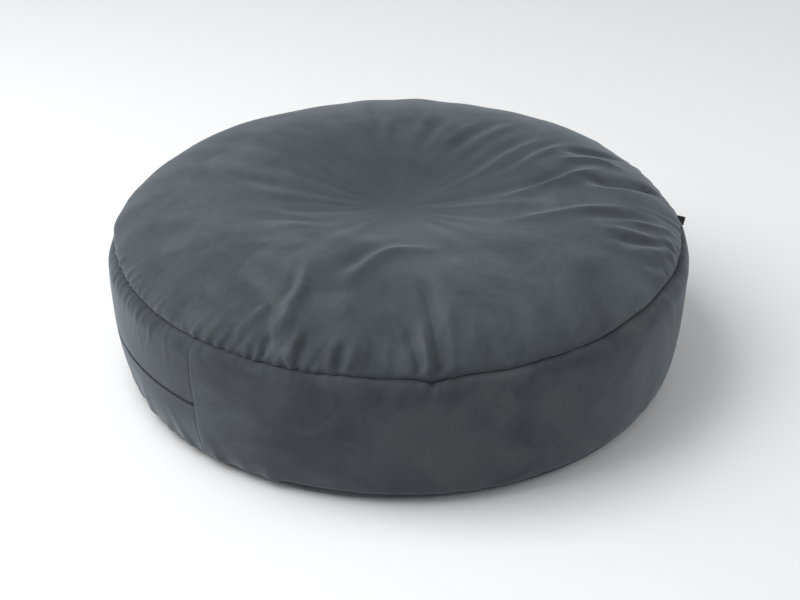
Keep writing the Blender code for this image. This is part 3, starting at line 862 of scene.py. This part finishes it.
@dataclass(frozen=True)
class ZipLine:
    """Place and sizes of the cover's zip, measured across it and behind the band's face."""

    join_azimuth: float = -131.5
    front_span: float = 157.5
    span: float = 97.5
    middle_azimuth: float = join_azimuth - span / 2
    slit: float = 0.0060
    tape_end: float = 0.004
    coil_depth: float = 0.0042
    coil_offset: float = 0.0021
    coil_radius: float = 0.0009
    quiet_height: float = 0.014
    quiet_rise: float = 0.045
    quiet_turn: float = 6.0

    @staticmethod
    def height() -> float:
        """Height of the zip's middle line."""
        return (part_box("zip_coil_upper")[0].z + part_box("zip_coil_lower")[1].z) / 2

    @classmethod
    def freedom(cls, azimuth: np.ndarray, height: np.ndarray) -> np.ndarray:
        """0 close to the zip, where the cloth keeps to the plain outline, and 1 away from it."""
        up = ease((np.abs(height - cls.height()) - cls.quiet_height) / cls.quiet_rise)
        side = ease((np.abs(turn_between(azimuth, cls.middle_azimuth)) - cls.span / 2 - 1) / cls.quiet_turn)
        return 1 - (1 - up) * (1 - side)

    @classmethod
    def point(cls, outline: Outline, azimuth: np.ndarray, along: float, depth: float,
              height: float | None = None) -> np.ndarray:
        """Points behind the band's face, at a distance up its slope.

        Args:
            outline: Half section of the cushion.
            azimuth: Degrees.
            along: Distance up the band from the zip's middle line.
            depth: Distance behind the face.
            height: Height of the line, the zip's own where it is left out.

        Returns:
            One point for each azimuth.
        """
        level = cls.height() if height is None else height
        lean = outline.lean(level)
        radius = outline.band_radius(np.array(level)).item()
        radius += along * math.sin(lean) - depth * math.cos(lean)
        level += along * math.cos(lean) + depth * math.sin(lean)
        turn = np.radians(azimuth)
        return np.stack([radius * np.cos(turn), radius * np.sin(turn), np.full(len(turn), level)], 1)


@dataclass
class Cover:
    """Velvet cover: top panel, side band with its zip strips, and underside."""

    form: ClothForm
    velvet: bpy.types.Material
    side_velvet: bpy.types.Material
    stitching: bpy.types.Material
    columns: int = 960
    top_rows: int = 104
    band_rows: int = 60
    hem: float = 0.008
    roll: float = 0.0022
    roll_reach: float = 0.0035
    join_roll: float = 0.0009
    join_reach: float = 0.0050
    thread: float = 0.0006
    gathers: tuple[Gather, ...] = (
        Gather(-176, -134, 0.019, 0.0048, 0.030, lean=0.5, seed=3),
        Gather(-138, -92, 0.021, 0.0052, 0.038, lean=0.4, seed=4),
        Gather(-92, -30, 0.024, 0.0012, 0.020, lean=0.0, seed=5),
        Gather(-30, 66, 0.024, 0.0030, 0.045, lean=-0.3, seed=6),
        Gather(60, 188, 0.026, 0.0009, 0.020, lean=0.0, seed=7),
    )
    band_gathers: tuple[Gather, ...] = (
        Gather(-176, -134, 0.020, 0.0022, 0.048, seed=12),
        Gather(-136, -96, 0.016, 0.0016, 0.022, seed=13),
        Gather(-96, 40, 0.022, 0.0012, 0.016, seed=14),
        Gather(40, 188, 0.024, 0.0007, 0.016, seed=15),
    )
    pinch_gathers: tuple[Gather, ...] = (
        Gather(-90, -78, 0.017, 0.0030, 0.024, lean=0.0, seed=41),
        Gather(-66, -12, 0.052, 0.0026, 0.060, lean=0.7, seed=42),
    )
    foot_gathers: tuple[Gather, ...] = (
        Gather(-174, -108, 0.046, 0.0060, 0.045, seed=23),
        Gather(-112, 188, 0.050, 0.0022, 0.035, seed=24),
    )

    def build(self) -> None:
        """Make every panel of the cover."""
        outline = self.form.outline
        self.azimuth = self.form.azimuths(self.columns)
        top = finer(self.form.top, np.linspace(0, self.form.top_rows, self.top_rows + 1), self.shares())
        band = finer(self.form.band, np.linspace(0, self.form.band_rows, self.band_rows + 1), self.shares())
        self.top_away = outline.top_run(self.top_rows + 1)
        self.band_away = away_band = outline.band_run(self.band_rows + 1)
        top = self.raise_gathers(top, self.top_away, self.gathers, outline.seam_radius)
        band = self.raise_gathers(band, away_band, self.band_gathers, outline.seam_radius)
        band = self.raise_gathers(band, away_band, self.pinch_gathers, outline.seam_radius)
        band = self.raise_gathers(band, away_band[-1] - away_band, self.foot_gathers, outline.foot_radius)
        top[0] = top[1].mean(axis=0)
        self.top, self.band = top, band
        self.build_top()
        self.build_band()
        self.build_bottom()
        self.build_thread("top_seam_stitching", top[-1], "top_seam_thread")
        self.build_thread("bottom_seam_stitching", band[-1], "bottom_seam_thread")

    def build_thread(self, name: str, edge: np.ndarray, node: str) -> None:
        """Thin thread lying in a sewn edge."""
        out = outward(edge)
        middle = edge - out * (self.roll + self.thread)
        rows = []
        for angle in np.linspace(0, 2 * math.pi, 7)[:-1]:
            ring = middle + out * (self.thread * math.cos(angle))
            ring[:, 2] -= self.thread * math.sin(angle)
            rows.append(ring)
        grid = np.stack([*rows, rows[0]])
        faces = strip_faces(*grid.shape[:2], closed=True)
        last = (len(rows)) * self.columns
        faces = [tuple(v - last if v >= last else v for v in face) for face in faces]
        new_piece(name, grid[:-1].reshape(-1, 3), faces, self.stitching, [node])

    def shares(self) -> np.ndarray:
        """Fractional columns of the form under each of the cover's columns."""
        return np.arange(self.columns) * self.form.columns / self.columns

    def raise_gathers(self, grid: np.ndarray, away: np.ndarray, gathers: Sequence[Gather],
                      radius: float) -> np.ndarray:
        """Grid with its puckers raised along the normals."""
        azimuth = np.broadcast_to(self.azimuth, grid.shape[:2])
        distance = np.broadcast_to(away[:, None], grid.shape[:2])
        lift = sum(gather.lift(azimuth, distance, radius) for gather in gathers)
        hold = 0.35 + 0.65 * ease(distance / 0.01)
        hold = hold * ZipLine.freedom(azimuth, grid[..., 2])
        return grid + normals(grid) * (lift * hold)[..., None]

    def rolled(self, grid: np.ndarray, away: np.ndarray) -> np.ndarray:
        """Grid whose edge turns in towards the seam."""
        share = 1 - np.clip(away / self.roll_reach, 0, 1)
        inward = self.roll * share ** 2
        out = unit(grid[..., :2])
        grid = grid.copy()
        grid[..., :2] -= out * inward[:, None, None]
        return grid

    def allowance(self, edge: np.ndarray, drop: float) -> np.ndarray:
        """Two rows of cloth turned in from a sewn edge."""
        out = unit(edge[:, :2])
        rows = []
        for share in (0.4, 1.0):
            row = edge.copy()
            row[:, :2] -= out * self.hem * share
            row[:, 2] += drop * share
            rows.append(row)
        return np.stack(rows)

    def build_top(self) -> None:
        """Top panel, gathered at its edge."""
        grid = self.rolled(self.top, self.top_away)
        radii = np.linalg.norm(grid[..., :2], axis=-1).mean(1)
        counts = self.form.ring_counts(radii, self.columns)
        counts[0] = 1
        grid = np.concatenate([grid, self.allowance(grid[-1], -0.0006)])
        points, faces = ring_mesh(grid, counts + [self.columns] * 2)
        piece = new_piece("cover_top", points, faces, self.velvet, ["cover_top_panel"])

    def build_band(self) -> None:
        """Front and back panels of the band, and the strips beside the zip."""
        grid = self.rolled(self.band, self.band_away)
        grid = self.rolled(grid, self.band_away[-1] - self.band_away)
        head = self.allowance(grid[0], -0.0012)[::-1]
        foot = self.allowance(grid[-1], 0.0012)
        self.whole = np.concatenate([head, grid, foot])
        spans = (("cover_band_front_cloth", "cover_band_front", ZipLine.join_azimuth, ZipLine.front_span),
                 ("cover_band_back_cloth", "cover_band_back", ZipLine.join_azimuth + ZipLine.front_span,
                  360 - ZipLine.front_span - ZipLine.span))
        for name, node, start, span in spans:
            points, faces = self.panel(self.whole, start, span)
            piece = new_piece(name, points, faces, self.side_velvet, [node])
        self.build_strips()

    def panel(self, grid: np.ndarray, start: float, span: float) -> tuple[np.ndarray, list[Face]]:
        """Part of a closed grid between two azimuths, its upright edges turned in.

        Args:
            grid: Closed grid.
            start: First azimuth in degrees.
            span: Degrees covered.

        Returns:
            Points and faces.
        """
        step = 360 / self.columns
        count = max(2, round(span / step))
        inner = np.linspace(0, span, count + 1)
        edge = np.array([0.07, 0.16, 0.28])
        shares = np.unique(np.concatenate([inner, edge, span - edge]))
        azimuths = start + shares
        columns = (azimuths % 360) / step
        part = cubic(grid.swapaxes(0, 1), columns, closed=True).swapaxes(0, 1)
        near = np.minimum(shares, span - shares) * math.radians(1) * self.form.outline.belly_radius
        roll = self.join_roll * (1 - np.clip(near / self.join_reach, 0, 1)) ** 2
        face = outward(part)
        part = part - face * roll[None, :, None]
        trims = []
        for column, sign in ((0, 1), (-1, -1)):
            side = np.cross([0, 0, 1], face[:, column]) * sign * 0.0003
            trims.append((part[:, column] - face[:, column] * self.hem + side)[:, None])
        part = np.concatenate([trims[0], part, trims[1]], axis=1)
        return part, strip_faces(part.shape[0], part.shape[1], closed=False)

    def build_strips(self) -> None:
        """Strips above and below the zip, with folded edges along the groove."""
        height = ZipLine.height()
        half = ZipLine.slit / 2
        rows = self.whole[..., 2].mean(1)
        start = ZipLine.join_azimuth - ZipLine.span
        for side, node in ((1, "cover_zip_strip_upper"), (-1, "cover_zip_strip_lower")):
            keep = rows > height + half + 0.003 if side > 0 else rows < height - half - 0.003
            grid = self.whole[keep]
            edge = self.groove_edge(height + side * half, side)
            grid = np.concatenate([grid, edge]) if side > 0 else np.concatenate([edge[::-1], grid])
            points, faces = self.panel(grid, start, ZipLine.span)
            piece = new_piece(f"{node}_cloth", points, faces, self.side_velvet, [node])

    def groove_edge(self, height: float, side: int) -> np.ndarray:
        """Rows that carry a strip round its folded edge and back behind itself.

        Args:
            height: Height of the fold.
            side: 1 above the groove, -1 below it.

        Returns:
            Grid of the extra rows.
        """
        bend = 0.0013
        path = [(side * 0.0022, 0.0)]
        path += [(side * bend * (1 - math.sin(a)), bend * (1 - math.cos(a)))
                 for a in np.radians([0, 30, 60, 90, 120, 150, 180])]
        path += [(side * 0.006, 2 * bend), (side * 0.0118, 2 * bend)]
        outline = self.form.outline
        offset = height - ZipLine.height()
        return np.stack([ZipLine.point(outline, self.azimuth, along + offset, depth)
                         for along, depth in path])

    def build_bottom(self) -> None:
        """Underside, flat on the floor inside its rounded edge."""
        outline = self.form.outline
        seam = self.rolled(self.band, run_back(outline.band_line(self.band_rows + 1)))[-1]
        out = unit(seam[:, :2])
        rise = outline.foot_height - outline.floor
        rows = []
        for share in np.linspace(0, 1, 9):
            angle = math.pi / 2 * share
            radius = outline.foot_radius - outline.foot_round * (1 - math.cos(angle))
            level = outline.foot_height - rise * math.sin(angle)
            row = np.concatenate([out * radius, np.full((self.columns, 1), level)], 1)
            rows.append(seam * (1 - min(1, share * 4)) + row * min(1, share * 4))
        flat = outline.foot_radius - outline.foot_round
        for radius in np.linspace(flat, 0, 60)[1:]:
            rows.append(np.concatenate([out * radius, np.full((self.columns, 1), outline.floor)], 1))
        grid = np.stack(rows)
        grid[..., 2] = np.maximum(grid[..., 2], outline.floor)
        inner = self.allowance(grid[0], 0.0006)[::-1]
        radii = np.linalg.norm(grid[..., :2], axis=-1).mean(1)
        counts = self.form.ring_counts(radii, self.columns)
        counts[-1] = 1
        points, faces = ring_mesh(np.concatenate([inner, grid]), [self.columns] * 2 + counts)
        piece = new_piece("cover_underside", points, faces, self.velvet, ["cover_bottom_panel"])


@dataclass
class InnerBag:
    """Bead-filled inner bag, which follows the cover a little way inside it."""

    form: ClothForm
    lining: bpy.types.Material
    beads: bpy.types.Material
    columns: int = 240
    corner: float = 0.018

    def build(self) -> None:
        """Make the bag's three panels and its filling."""
        top, band = self.inset(0.0060, 0.0140)
        points, faces = ring_mesh(top, self.counts(top))
        new_piece("inner_bag_top", points, faces, self.lining, ["liner_top"])
        new_piece("inner_bag_band", band, strip_faces(*band.shape[:2], closed=True), self.lining,
                  ["liner_band"])
        base = self.base(band[-1], 0.0022)
        points, faces = ring_mesh(base, self.counts(base))
        new_piece("inner_bag_bottom", points, faces, self.lining, ["liner_bottom"])
        top, band = self.inset(0.0085, 0.0165)
        grid = np.concatenate([top, band[1:], self.base(band[-1], 0.0040)[1:]])
        points, faces = ring_mesh(grid, self.counts(grid))
        piece = new_piece("bead_filling", points, faces, self.beads, ["bead_fill"])

    def counts(self, grid: np.ndarray) -> list[int]:
        """Points on each ring of a grid, poles included."""
        radii = np.linalg.norm(grid[..., :2], axis=-1).mean(1)
        counts = self.form.ring_counts(radii, self.columns)
        return [1 if radius < 1e-4 else count for radius, count in zip(radii, counts)]

    def inset(self, top_depth: float, side_depth: float) -> tuple[np.ndarray, np.ndarray]:
        """Top and band grids moved in from the cover, meeting in one ring.

        Args:
            top_depth: How far below the top panel.
            side_depth: How far behind the band.

        Returns:
            The two grids.
        """
        step = self.form.columns // self.columns
        outline = self.form.outline
        rows = np.arange(0, self.form.top_rows + 1, 2)
        top = smoothed(self.form.top, 3)[rows][:, ::step].copy()
        band = smoothed(self.form.band, 3)[::2][:, ::step].copy()
        top_reach = ease(outline.top_run(len(top)) / 0.05)
        band_away = outline.band_run(len(band))
        band_reach = ease(np.minimum(band_away, band_away[-1] - band_away) / 0.04)
        top_in = top_depth + (self.corner - top_depth) * (1 - top_reach)
        band_in = side_depth + (self.corner - side_depth) * (1 - band_reach)
        self.shrink(top, top_in, normals(top))
        self.shrink(band, band_in, normals(band))
        band[0] = top[-1] = (band[0] + top[-1]) / 2
        return top, band

    def shrink(self, grid: np.ndarray, depth: np.ndarray, face: np.ndarray) -> None:
        """Move a grid in along its normals and straight in at its sewn edges."""
        share = np.clip((depth - depth.min()) / max(np.ptp(depth), 1e-9), 0, 1)[:, None, None]
        way = unit(face * (1 - share) + outward(grid) * share)
        grid -= way * depth[:, None, None]

    def base(self, edge: np.ndarray, level: float) -> np.ndarray:
        """Flat panel from an edge ring to the middle of the underside."""
        out = unit(edge[:, :2])
        rows = [edge]
        start = np.linalg.norm(edge[:, :2], axis=1).mean()
        for share in np.linspace(0, 1, 5)[1:]:
            angle = math.pi / 2 * share
            radius = start - 0.02 * (1 - math.cos(angle))
            height = edge[:, 2].mean() + (level - edge[:, 2].mean()) * math.sin(angle)
            rows.append(np.concatenate([out * radius, np.full((len(out), 1), height)], 1))
        for radius in np.linspace(start - 0.02, 0, 16)[1:]:
            rows.append(np.concatenate([out * radius, np.full((len(out), 1), level)], 1))
        return np.stack(rows)


def smoothed(grid: np.ndarray, times: int) -> np.ndarray:
    """Grid averaged with its neighbours round the turn."""
    for _ in range(times):
        grid = (np.roll(grid, 1, 1) + 2 * grid + np.roll(grid, -1, 1)) / 4
    return grid


def chain(link: bpy.types.Mesh, places: np.ndarray, out: np.ndarray, up: np.ndarray,
          lean: float = 0.0) -> tuple[np.ndarray, list[Face]]:
    """One small mesh repeated along a row of places.

    Args:
        link: Mesh about its own origin, its local X, Y and Z pointing out, along and up.
        places: Position of each copy.
        out: Outward direction of each copy.
        up: Upward direction of each copy.
        lean: Skew of each copy along the row, per metre of its height.

    Returns:
        Points and faces of all the copies.
    """
    shape = np.array([vertex.co for vertex in link.vertices])
    shape[:, 1] += shape[:, 2] * lean
    along = np.cross(up, out)
    points = places[:, None] + shape[None, :, :1] * out[:, None] + shape[None, :, 1:2] * along[:, None]
    points = points + shape[None, :, 2:] * up[:, None]
    sides = [tuple(face.vertices) for face in link.polygons]
    faces = [tuple(v + step * len(shape) for v in face) for step in range(len(places)) for face in sides]
    return points.reshape(-1, 3), faces


def pick(*pieces: bpy.types.Object) -> None:
    """Select only these pieces, the first of them active."""
    bpy.ops.object.select_all(action="DESELECT")
    for piece in pieces:
        piece.select_set(True)
    if pieces:
        bpy.context.view_layer.objects.active = pieces[0]


@contextmanager
def editing() -> Iterator[None]:
    """Edit mode on the active object with all of it selected."""
    bpy.ops.object.mode_set(mode="EDIT")
    bpy.ops.mesh.select_all(action="SELECT")
    yield
    bpy.ops.object.mode_set(mode="OBJECT")


def coil_link(radius: float, wire: float) -> bpy.types.Mesh:
    """Loop of a nylon coil, standing across the zip."""
    pick()
    bpy.ops.mesh.primitive_torus_add(major_radius=radius - wire, minor_radius=wire, major_segments=8,
                                     minor_segments=4)
    loop = bpy.context.object
    with editing():
        bpy.ops.transform.rotate(value=math.pi / 2, orient_axis="X", center_override=(0, 0, 0))
    mesh = loop.data
    bpy.data.objects.remove(loop)
    return mesh


def slab(low: Sequence[float], high: Sequence[float], bevel: float, segments: int = 2) -> bpy.types.Object:
    """Box between two corners with rounded edges.

    Args:
        low: Lowest corner.
        high: Highest corner.
        bevel: Radius of its edges.
        segments: Facets round each edge.

    Returns:
        The new object.
    """
    pick()
    middle = [(a + b) / 2 for a, b in zip(low, high)]
    bpy.ops.mesh.primitive_cube_add(size=1.0, location=middle)
    box = bpy.context.object
    box.scale = [b - a for a, b in zip(low, high)]
    bpy.ops.object.transform_apply(location=True, rotation=True, scale=True)
    with editing():
        bpy.ops.mesh.bevel(offset=bevel, segments=segments, affect="EDGES")
    return box


def joined(parts: Sequence[bpy.types.Object], name: str) -> bpy.types.Object:
    """Parts joined into one object."""
    pick(*parts)
    bpy.ops.object.join()
    parts[0].name = parts[0].data.name = name
    return parts[0]


def cut(piece: bpy.types.Object, tool: bpy.types.Object) -> None:
    """Take a tool's shape out of a piece."""
    modifier = piece.modifiers.new("Cut", "BOOLEAN")
    modifier.operation = "DIFFERENCE"
    modifier.solver = "EXACT"
    modifier.object = tool
    pick(piece)
    bpy.ops.object.modifier_apply(modifier=modifier.name)
    bpy.data.objects.remove(tool)


@dataclass
class ZipFastener:
    """Cover's zip: two woven tapes, two nylon coils, and the slider with its flat pull."""

    outline: Outline
    tape: bpy.types.Material
    nylon: bpy.types.Material
    metal: bpy.types.Material
    margin: float = 0.9
    pitch: float = 0.0014
    wire: float = 0.00024
    plate: float = 0.0009
    plate_depth: float = 0.0018
    back_depth: float = 0.0069
    length: float = 0.011
    half_width: float = 0.0044
    arch_rise: float = 0.0015
    pivot_depth: float = 0.0006
    pull_length: float = 0.0175
    pull_width: float = 0.0050

    def build(self) -> None:
        """Make the tapes and coils, then the slider and the pull."""
        link = coil_link(ZipLine.coil_radius, self.wire)
        end = math.degrees(ZipLine.tape_end / self.outline.belly_radius)
        start = ZipLine.join_azimuth - ZipLine.span + end
        span = ZipLine.span - 2 * end
        for name, side in (("upper", 1), ("lower", -1)):
            self.build_tape(name, side, start, span)
            self.build_coil(name, side, start, span, link)
        bpy.data.meshes.remove(link)
        seat = self.seat()
        self.build_slider(seat)
        self.build_pull(seat)

    def build_tape(self, name: str, side: int, start: float, span: float) -> None:
        """Tape sewn behind a strip and stepping in to its coil."""
        path = [(0.016, 0.0018), (0.0135, 0.0018), (0.0112, 0.0019), (0.0098, 0.0027), (0.0078, 0.0043),
                (0.0060, 0.0053), (0.0048, 0.0057), (0.0030, 0.0057), (0.0013, 0.0057)]
        azimuth = start + np.linspace(0, span, 241)
        rows = [ZipLine.point(self.outline, azimuth, side * along, depth) for along, depth in path[::side]]
        grid = np.stack(rows)
        piece = new_piece(f"zip_tape_{name}_cloth", grid, strip_faces(*grid.shape[:2], closed=False),
                          self.tape, [f"zip_tape_{name}"])

    def build_coil(self, name: str, side: int, start: float, span: float, link: bpy.types.Mesh) -> None:
        """Coil of nylon loops along a tape."""
        length = span - 2 * self.margin
        count = round(math.radians(length) * self.outline.belly_radius / self.pitch)
        azimuth = start + self.margin + np.linspace(0, length, count)
        places = ZipLine.point(self.outline, azimuth, side * ZipLine.coil_offset, ZipLine.coil_depth)
        inner = ZipLine.point(self.outline, azimuth, side * ZipLine.coil_offset, ZipLine.coil_depth + 0.001)
        out = unit(places - inner)
        above = ZipLine.point(self.outline, azimuth, side * ZipLine.coil_offset + 0.001, ZipLine.coil_depth)
        points, faces = chain(link, places, out, unit(above - places), lean=0.35 * side)
        new_piece(f"zip_coil_{name}_loops", points, faces, self.nylon, [f"zip_coil_{name}"])

    def seat(self) -> Matrix:
        """Slider's own frame: X out of the band, Y along it and Z up its slope."""
        joint = next(joint for joint in frame["joints"] if joint["name"] == "pull_swing")
        up = Vector(joint["axis"]).normalized()
        pivot = Vector(joint["pos_m"])
        side = up.cross(Vector((pivot.x, pivot.y, 0.0))).normalized()
        out = side.cross(up)
        place = Matrix.Translation(pivot + out * self.pivot_depth)
        return place @ Matrix((out, side, up)).transposed().to_4x4()

    def place(self, piece: bpy.types.Object, seat: Matrix, body: str, node: str) -> None:
        """Put a finished small piece on the slider's frame and dress it."""
        piece.data.transform(seat)
        piece.data.materials.clear()
        piece.data.materials.append(self.metal)
        pick(piece)
        bpy.ops.object.shade_smooth_by_angle(angle=math.radians(35))
        settle(piece, [node], body)

    def build_slider(self, seat: Matrix) -> None:
        """Slider with two plates round the coils, a post between them and an arch."""
        half, wide = self.length / 2, self.half_width
        face, under = -self.plate_depth, -self.plate_depth - self.plate
        back = -self.back_depth
        parts = [
            slab((under, -half, -wide), (face, half, wide), 0.00035),
            slab((back - self.plate, -half, -wide), (back, half, wide), 0.00035),
            slab((back - 0.0003, -0.002, -0.0006), (under + 0.0003, 0.002, 0.0006), 0.0002),
            self.flange(wide - 0.0008),
            self.flange(0.0002 - wide),
            self.arch(),
        ]
        self.place(joined(parts, "zip_slider_body"), seat, "zip_slider", "zip_slider")

    def flange(self, low: float) -> bpy.types.Object:
        """Edge of the front plate turned back towards the coils."""
        half = self.length / 2 - 0.0003
        return slab((-0.0051, -half, low), (-self.plate_depth - 0.0003, half, low + 0.0006), 0.0002)

    def arch(self) -> bpy.types.Object:
        """Bridge over the slider that holds the pull."""
        pick()
        bpy.ops.mesh.primitive_torus_add(major_radius=0.0034, minor_radius=0.00045, major_segments=28,
                                         minor_segments=10)
        bridge = bpy.context.object
        with editing():
            bpy.ops.mesh.bisect(plane_co=(0, 0, 0), plane_no=(1, 0, 0), clear_inner=True, use_fill=True)
            bpy.ops.mesh.select_all(action="SELECT")
            rise = (self.arch_rise + self.plate_depth) / 0.00385
            bpy.ops.transform.resize(value=(rise, 1.0, 1.5), center_override=(0, 0, 0))
            bpy.ops.transform.translate(value=(-self.plate_depth - 0.0001, 0, 0))
        return bridge

    def build_pull(self, seat: Matrix) -> None:
        """Flat pull with a window for the arch."""
        thick, wide = 0.00045, self.pull_width / 2
        middle = -self.pivot_depth
        piece = slab((middle - thick, -self.pull_length, -wide), (middle + thick, 0.0006, wide), 0.0003)
        piece.name = piece.data.name = "zip_pull_tag"
        cut(piece, slab((-0.004, -0.0050, -0.0013), (0.004, -0.0006, 0.0013), 0.0003))
        self.place(piece, seat, "zip_pull", "zip_pull")


@dataclass
class Labels:
    """Blank woven label folded in the top seam, and a blank care label inside."""

    outline: Outline
    woven: bpy.types.Material
    paper: bpy.types.Material
    droop: float = 25.0
    twist: float = 58.0
    reach: float = 0.0275
    proud: float = 0.0030
    fold: float = 0.0011
    width: float = 0.016
    steps: int = 9

    def build(self) -> None:
        """Make both labels."""
        low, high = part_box("side_label")
        middle = (low + high) / 2
        self.azimuth = math.atan2(middle.y, middle.x)
        self.build_side_label()
        self.build_care_label()

    def build_side_label(self) -> None:
        """Label drawn out from the seam in steps, then twisted, with a rounded fold."""
        pick()
        bpy.ops.mesh.primitive_plane_add(size=1.0)
        label = bpy.context.object
        label.scale = (self.fold, self.width, 1.0)
        bpy.ops.object.transform_apply(location=False, rotation=False, scale=True)
        with editing():
            bpy.ops.transform.rotate(value=math.pi / 2, orient_axis="Y", center_override=(0, 0, 0))
            for _ in range(self.steps):
                move = (self.reach / self.steps, 0.0, 0.0)
                bpy.ops.mesh.extrude_region_move(TRANSFORM_OT_translate={"value": move})
        label.name = label.data.name = "side_label_woven"
        self.fix_normals(label)
        twist = label.modifiers.new("Twist", "SIMPLE_DEFORM")
        twist.deform_method = "TWIST"
        twist.deform_axis = "X"
        twist.angle = math.radians(self.twist)
        bpy.ops.object.modifier_apply(modifier=twist.name)
        bevel = label.modifiers.new("Fold", "BEVEL")
        bevel.width = 0.00038
        bevel.segments = 3
        bpy.ops.object.modifier_apply(modifier=bevel.name)
        label.data.materials.append(self.woven)
        start = self.outline.seam_radius + self.proud
        turn = Matrix.Rotation(self.azimuth, 4, "Z")
        seat = Matrix.Translation((start, 0, self.outline.seam_height + 0.0012))
        label.data.transform(turn @ seat @ Matrix.Rotation(math.radians(self.droop), 4, "Y"))
        bpy.ops.object.shade_smooth_by_angle(angle=math.radians(40))
        settle(label, ["side_label"])

    def fix_normals(self, piece: bpy.types.Object) -> None:
        """Merge a piece's doubles and turn its faces outwards."""
        pick(piece)
        with editing():
            bpy.ops.mesh.remove_doubles(threshold=0.00001)
            bpy.ops.mesh.normals_make_consistent(inside=False)

    def build_care_label(self) -> None:
        """Care label lying against the inside of the band."""
        low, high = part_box("care_label")
        middle = (low + high) / 2
        azimuth = math.degrees(math.atan2(middle.y, middle.x))
        half = math.degrees(0.016 / self.outline.seam_radius)
        turns = azimuth + np.linspace(-half, half, 9)
        rows = []
        for height in np.linspace(high.z, low.z, 11):
            depth = 0.0034 + 0.0006 * math.sin((height - low.z) * 160)
            rows.append(ZipLine.point(self.outline, turns, 0.0, depth, height))
        grid = np.stack(rows)
        piece = new_piece("care_label_cloth", grid, strip_faces(*grid.shape[:2], closed=False), self.paper,
                          ["care_label"])


@dataclass
class Dressing:
    """Finishes for the CAD nodes that keep their own shape."""

    materials: dict[str, bpy.types.Material]

    def build(self) -> None:
        """Give each shown CAD node its material."""
        for slot, nodes in SLOT_NODES.items():
            for name in nodes:
                mesh = frame["nodes"][name].data
                mesh.materials.clear()
                mesh.materials.append(self.materials[slot])
            LOG.info("dressed %d nodes in %s", len(nodes), slot)


SLOT_NODES = {
    "thread": ("band_join_thread_front", "band_join_thread_zip_start", "band_join_thread_zip_end"),
    "zip_metal": ("zip_stop_closed", "zip_stop_open", "liner_zip_slider"),
    "liner_zip": ("liner_zip_tape", "liner_zip_coil"),
}


@dataclass
class Studio:
    """Camera, pale floor and soft light."""

    distance: float = 3.76
    elevation: float = 28.64
    aim_height: float = 0.174
    lens: float = 93.1
    shift: tuple[float, float] = (0.002, -0.039)

    def build(self) -> None:
        """Make the camera, floor, world and lights."""
        self.add_camera()
        self.add_floor()
        world = bpy.data.worlds.new("soft_room")
        world.use_nodes = True
        world.node_tree.nodes["Background"].inputs[0].default_value = (0.96, 0.98, 1.0, 1)
        world.node_tree.nodes["Background"].inputs[1].default_value = 0.47
        bpy.context.scene.world = world
        self.add_light("key", (-1.5, -0.45, 2.95), 2.4, 82.0)
        self.add_light("left_fill", (-3.2, 0.2, 1.3), 1.6, 26.0)
        self.add_light("right_fill", (3.2, 0.4, 1.3), 1.6, 14.0)
        bpy.context.scene.view_settings.view_transform = "Standard"

    def add_camera(self) -> None:
        """Camera at the set viewing angle."""
        tilt = math.radians(self.elevation)
        data = bpy.data.cameras.new("camera")
        data.lens = self.lens
        data.shift_x, data.shift_y = self.shift
        data.clip_end = 100.0
        camera = bpy.data.objects.new("camera", data)
        rise = self.distance * math.sin(tilt)
        camera.location = (0, -self.distance * math.cos(tilt), self.aim_height + rise)
        camera.rotation_euler = (math.pi / 2 - tilt, 0, 0)
        bpy.context.scene.collection.objects.link(camera)
        bpy.context.scene.camera = camera

    def add_floor(self) -> None:
        """Wide pale floor under the cushion."""
        pick()
        bpy.ops.mesh.primitive_plane_add(size=60.0)
        floor = bpy.context.object
        floor.name = "studio_floor"
        material, kit, shader, place = start_material("pale_floor", 0.9)
        tone = kit.noise(place, 0.4)
        kit.feed(shader.inputs["Base Color"], kit.blend(tone, (0.90, 0.90, 0.90, 1), (0.92, 0.92, 0.92, 1)))
        floor.data.materials.append(material)

    def add_light(self, name: str, place: Place, size: float, power: float) -> None:
        """Square soft light that looks at the cushion."""
        data = bpy.data.lights.new(name, "AREA")
        data.size = size
        data.energy = power
        lamp = bpy.data.objects.new(name, data)
        lamp.location = place
        lamp.rotation_euler = (Vector((0, 0, 0.2)) - Vector(place)).to_track_quat("-Z", "Y").to_euler()
        bpy.context.scene.collection.objects.link(lamp)


def main() -> None:
    """Build the studio and every sub-assembly."""
    logging.basicConfig(level=logging.INFO, format="%(name)s: %(message)s")
    Studio().build()
    outline = Outline()
    form = ClothForm(outline)
    form.build()
    stitching = Woven("slate_thread", (0.02, 0.023, 0.026), (0.04, 0.045, 0.05), threads=12000.0).build()
    # Darker copy of the velvet for the band: painted shade on the upright side, which gets less of the
    # overhead light than the top.
    side = Velvet("slate_velvet_side", painted_shade=0.82, painted_dip_shade=0.0)
    Cover(form, Velvet().build(), side.build(), stitching).build()
    lining = Woven("white_lining", (0.60, 0.59, 0.56), (0.70, 0.69, 0.66)).build()
    InnerBag(form, lining, Foam().build()).build()
    # The zip tape and coil colours are lighter than the cover's cloth: painted light that softens the shade
    # in the zip groove.
    tape = Woven("zip_tape", (0.13, 0.145, 0.155), (0.18, 0.20, 0.21)).build()
    nylon = Hard("zip_nylon", (0.15, 0.168, 0.178), (0.20, 0.22, 0.23), 0.42).build()
    metal = Hard("black_metal", (0.025, 0.025, 0.027), (0.30, 0.30, 0.31), 0.32, 0.85).build()
    label = Woven("black_woven", (0.003, 0.003, 0.004), (0.008, 0.008, 0.009), sheen=0.0).build()
    care = Woven("white_woven", (0.70, 0.70, 0.68), (0.80, 0.80, 0.78)).build()
    ZipFastener(outline, tape, nylon, metal).build()
    Labels(outline, label, care).build()
    Dressing({
        "thread": stitching,
        "zip_metal": metal,
        "liner_zip": Woven("liner_zip_tape", (0.66, 0.66, 0.64), (0.76, 0.76, 0.74)).build(),
    }).build()


if __name__ == "__main__":
    main()
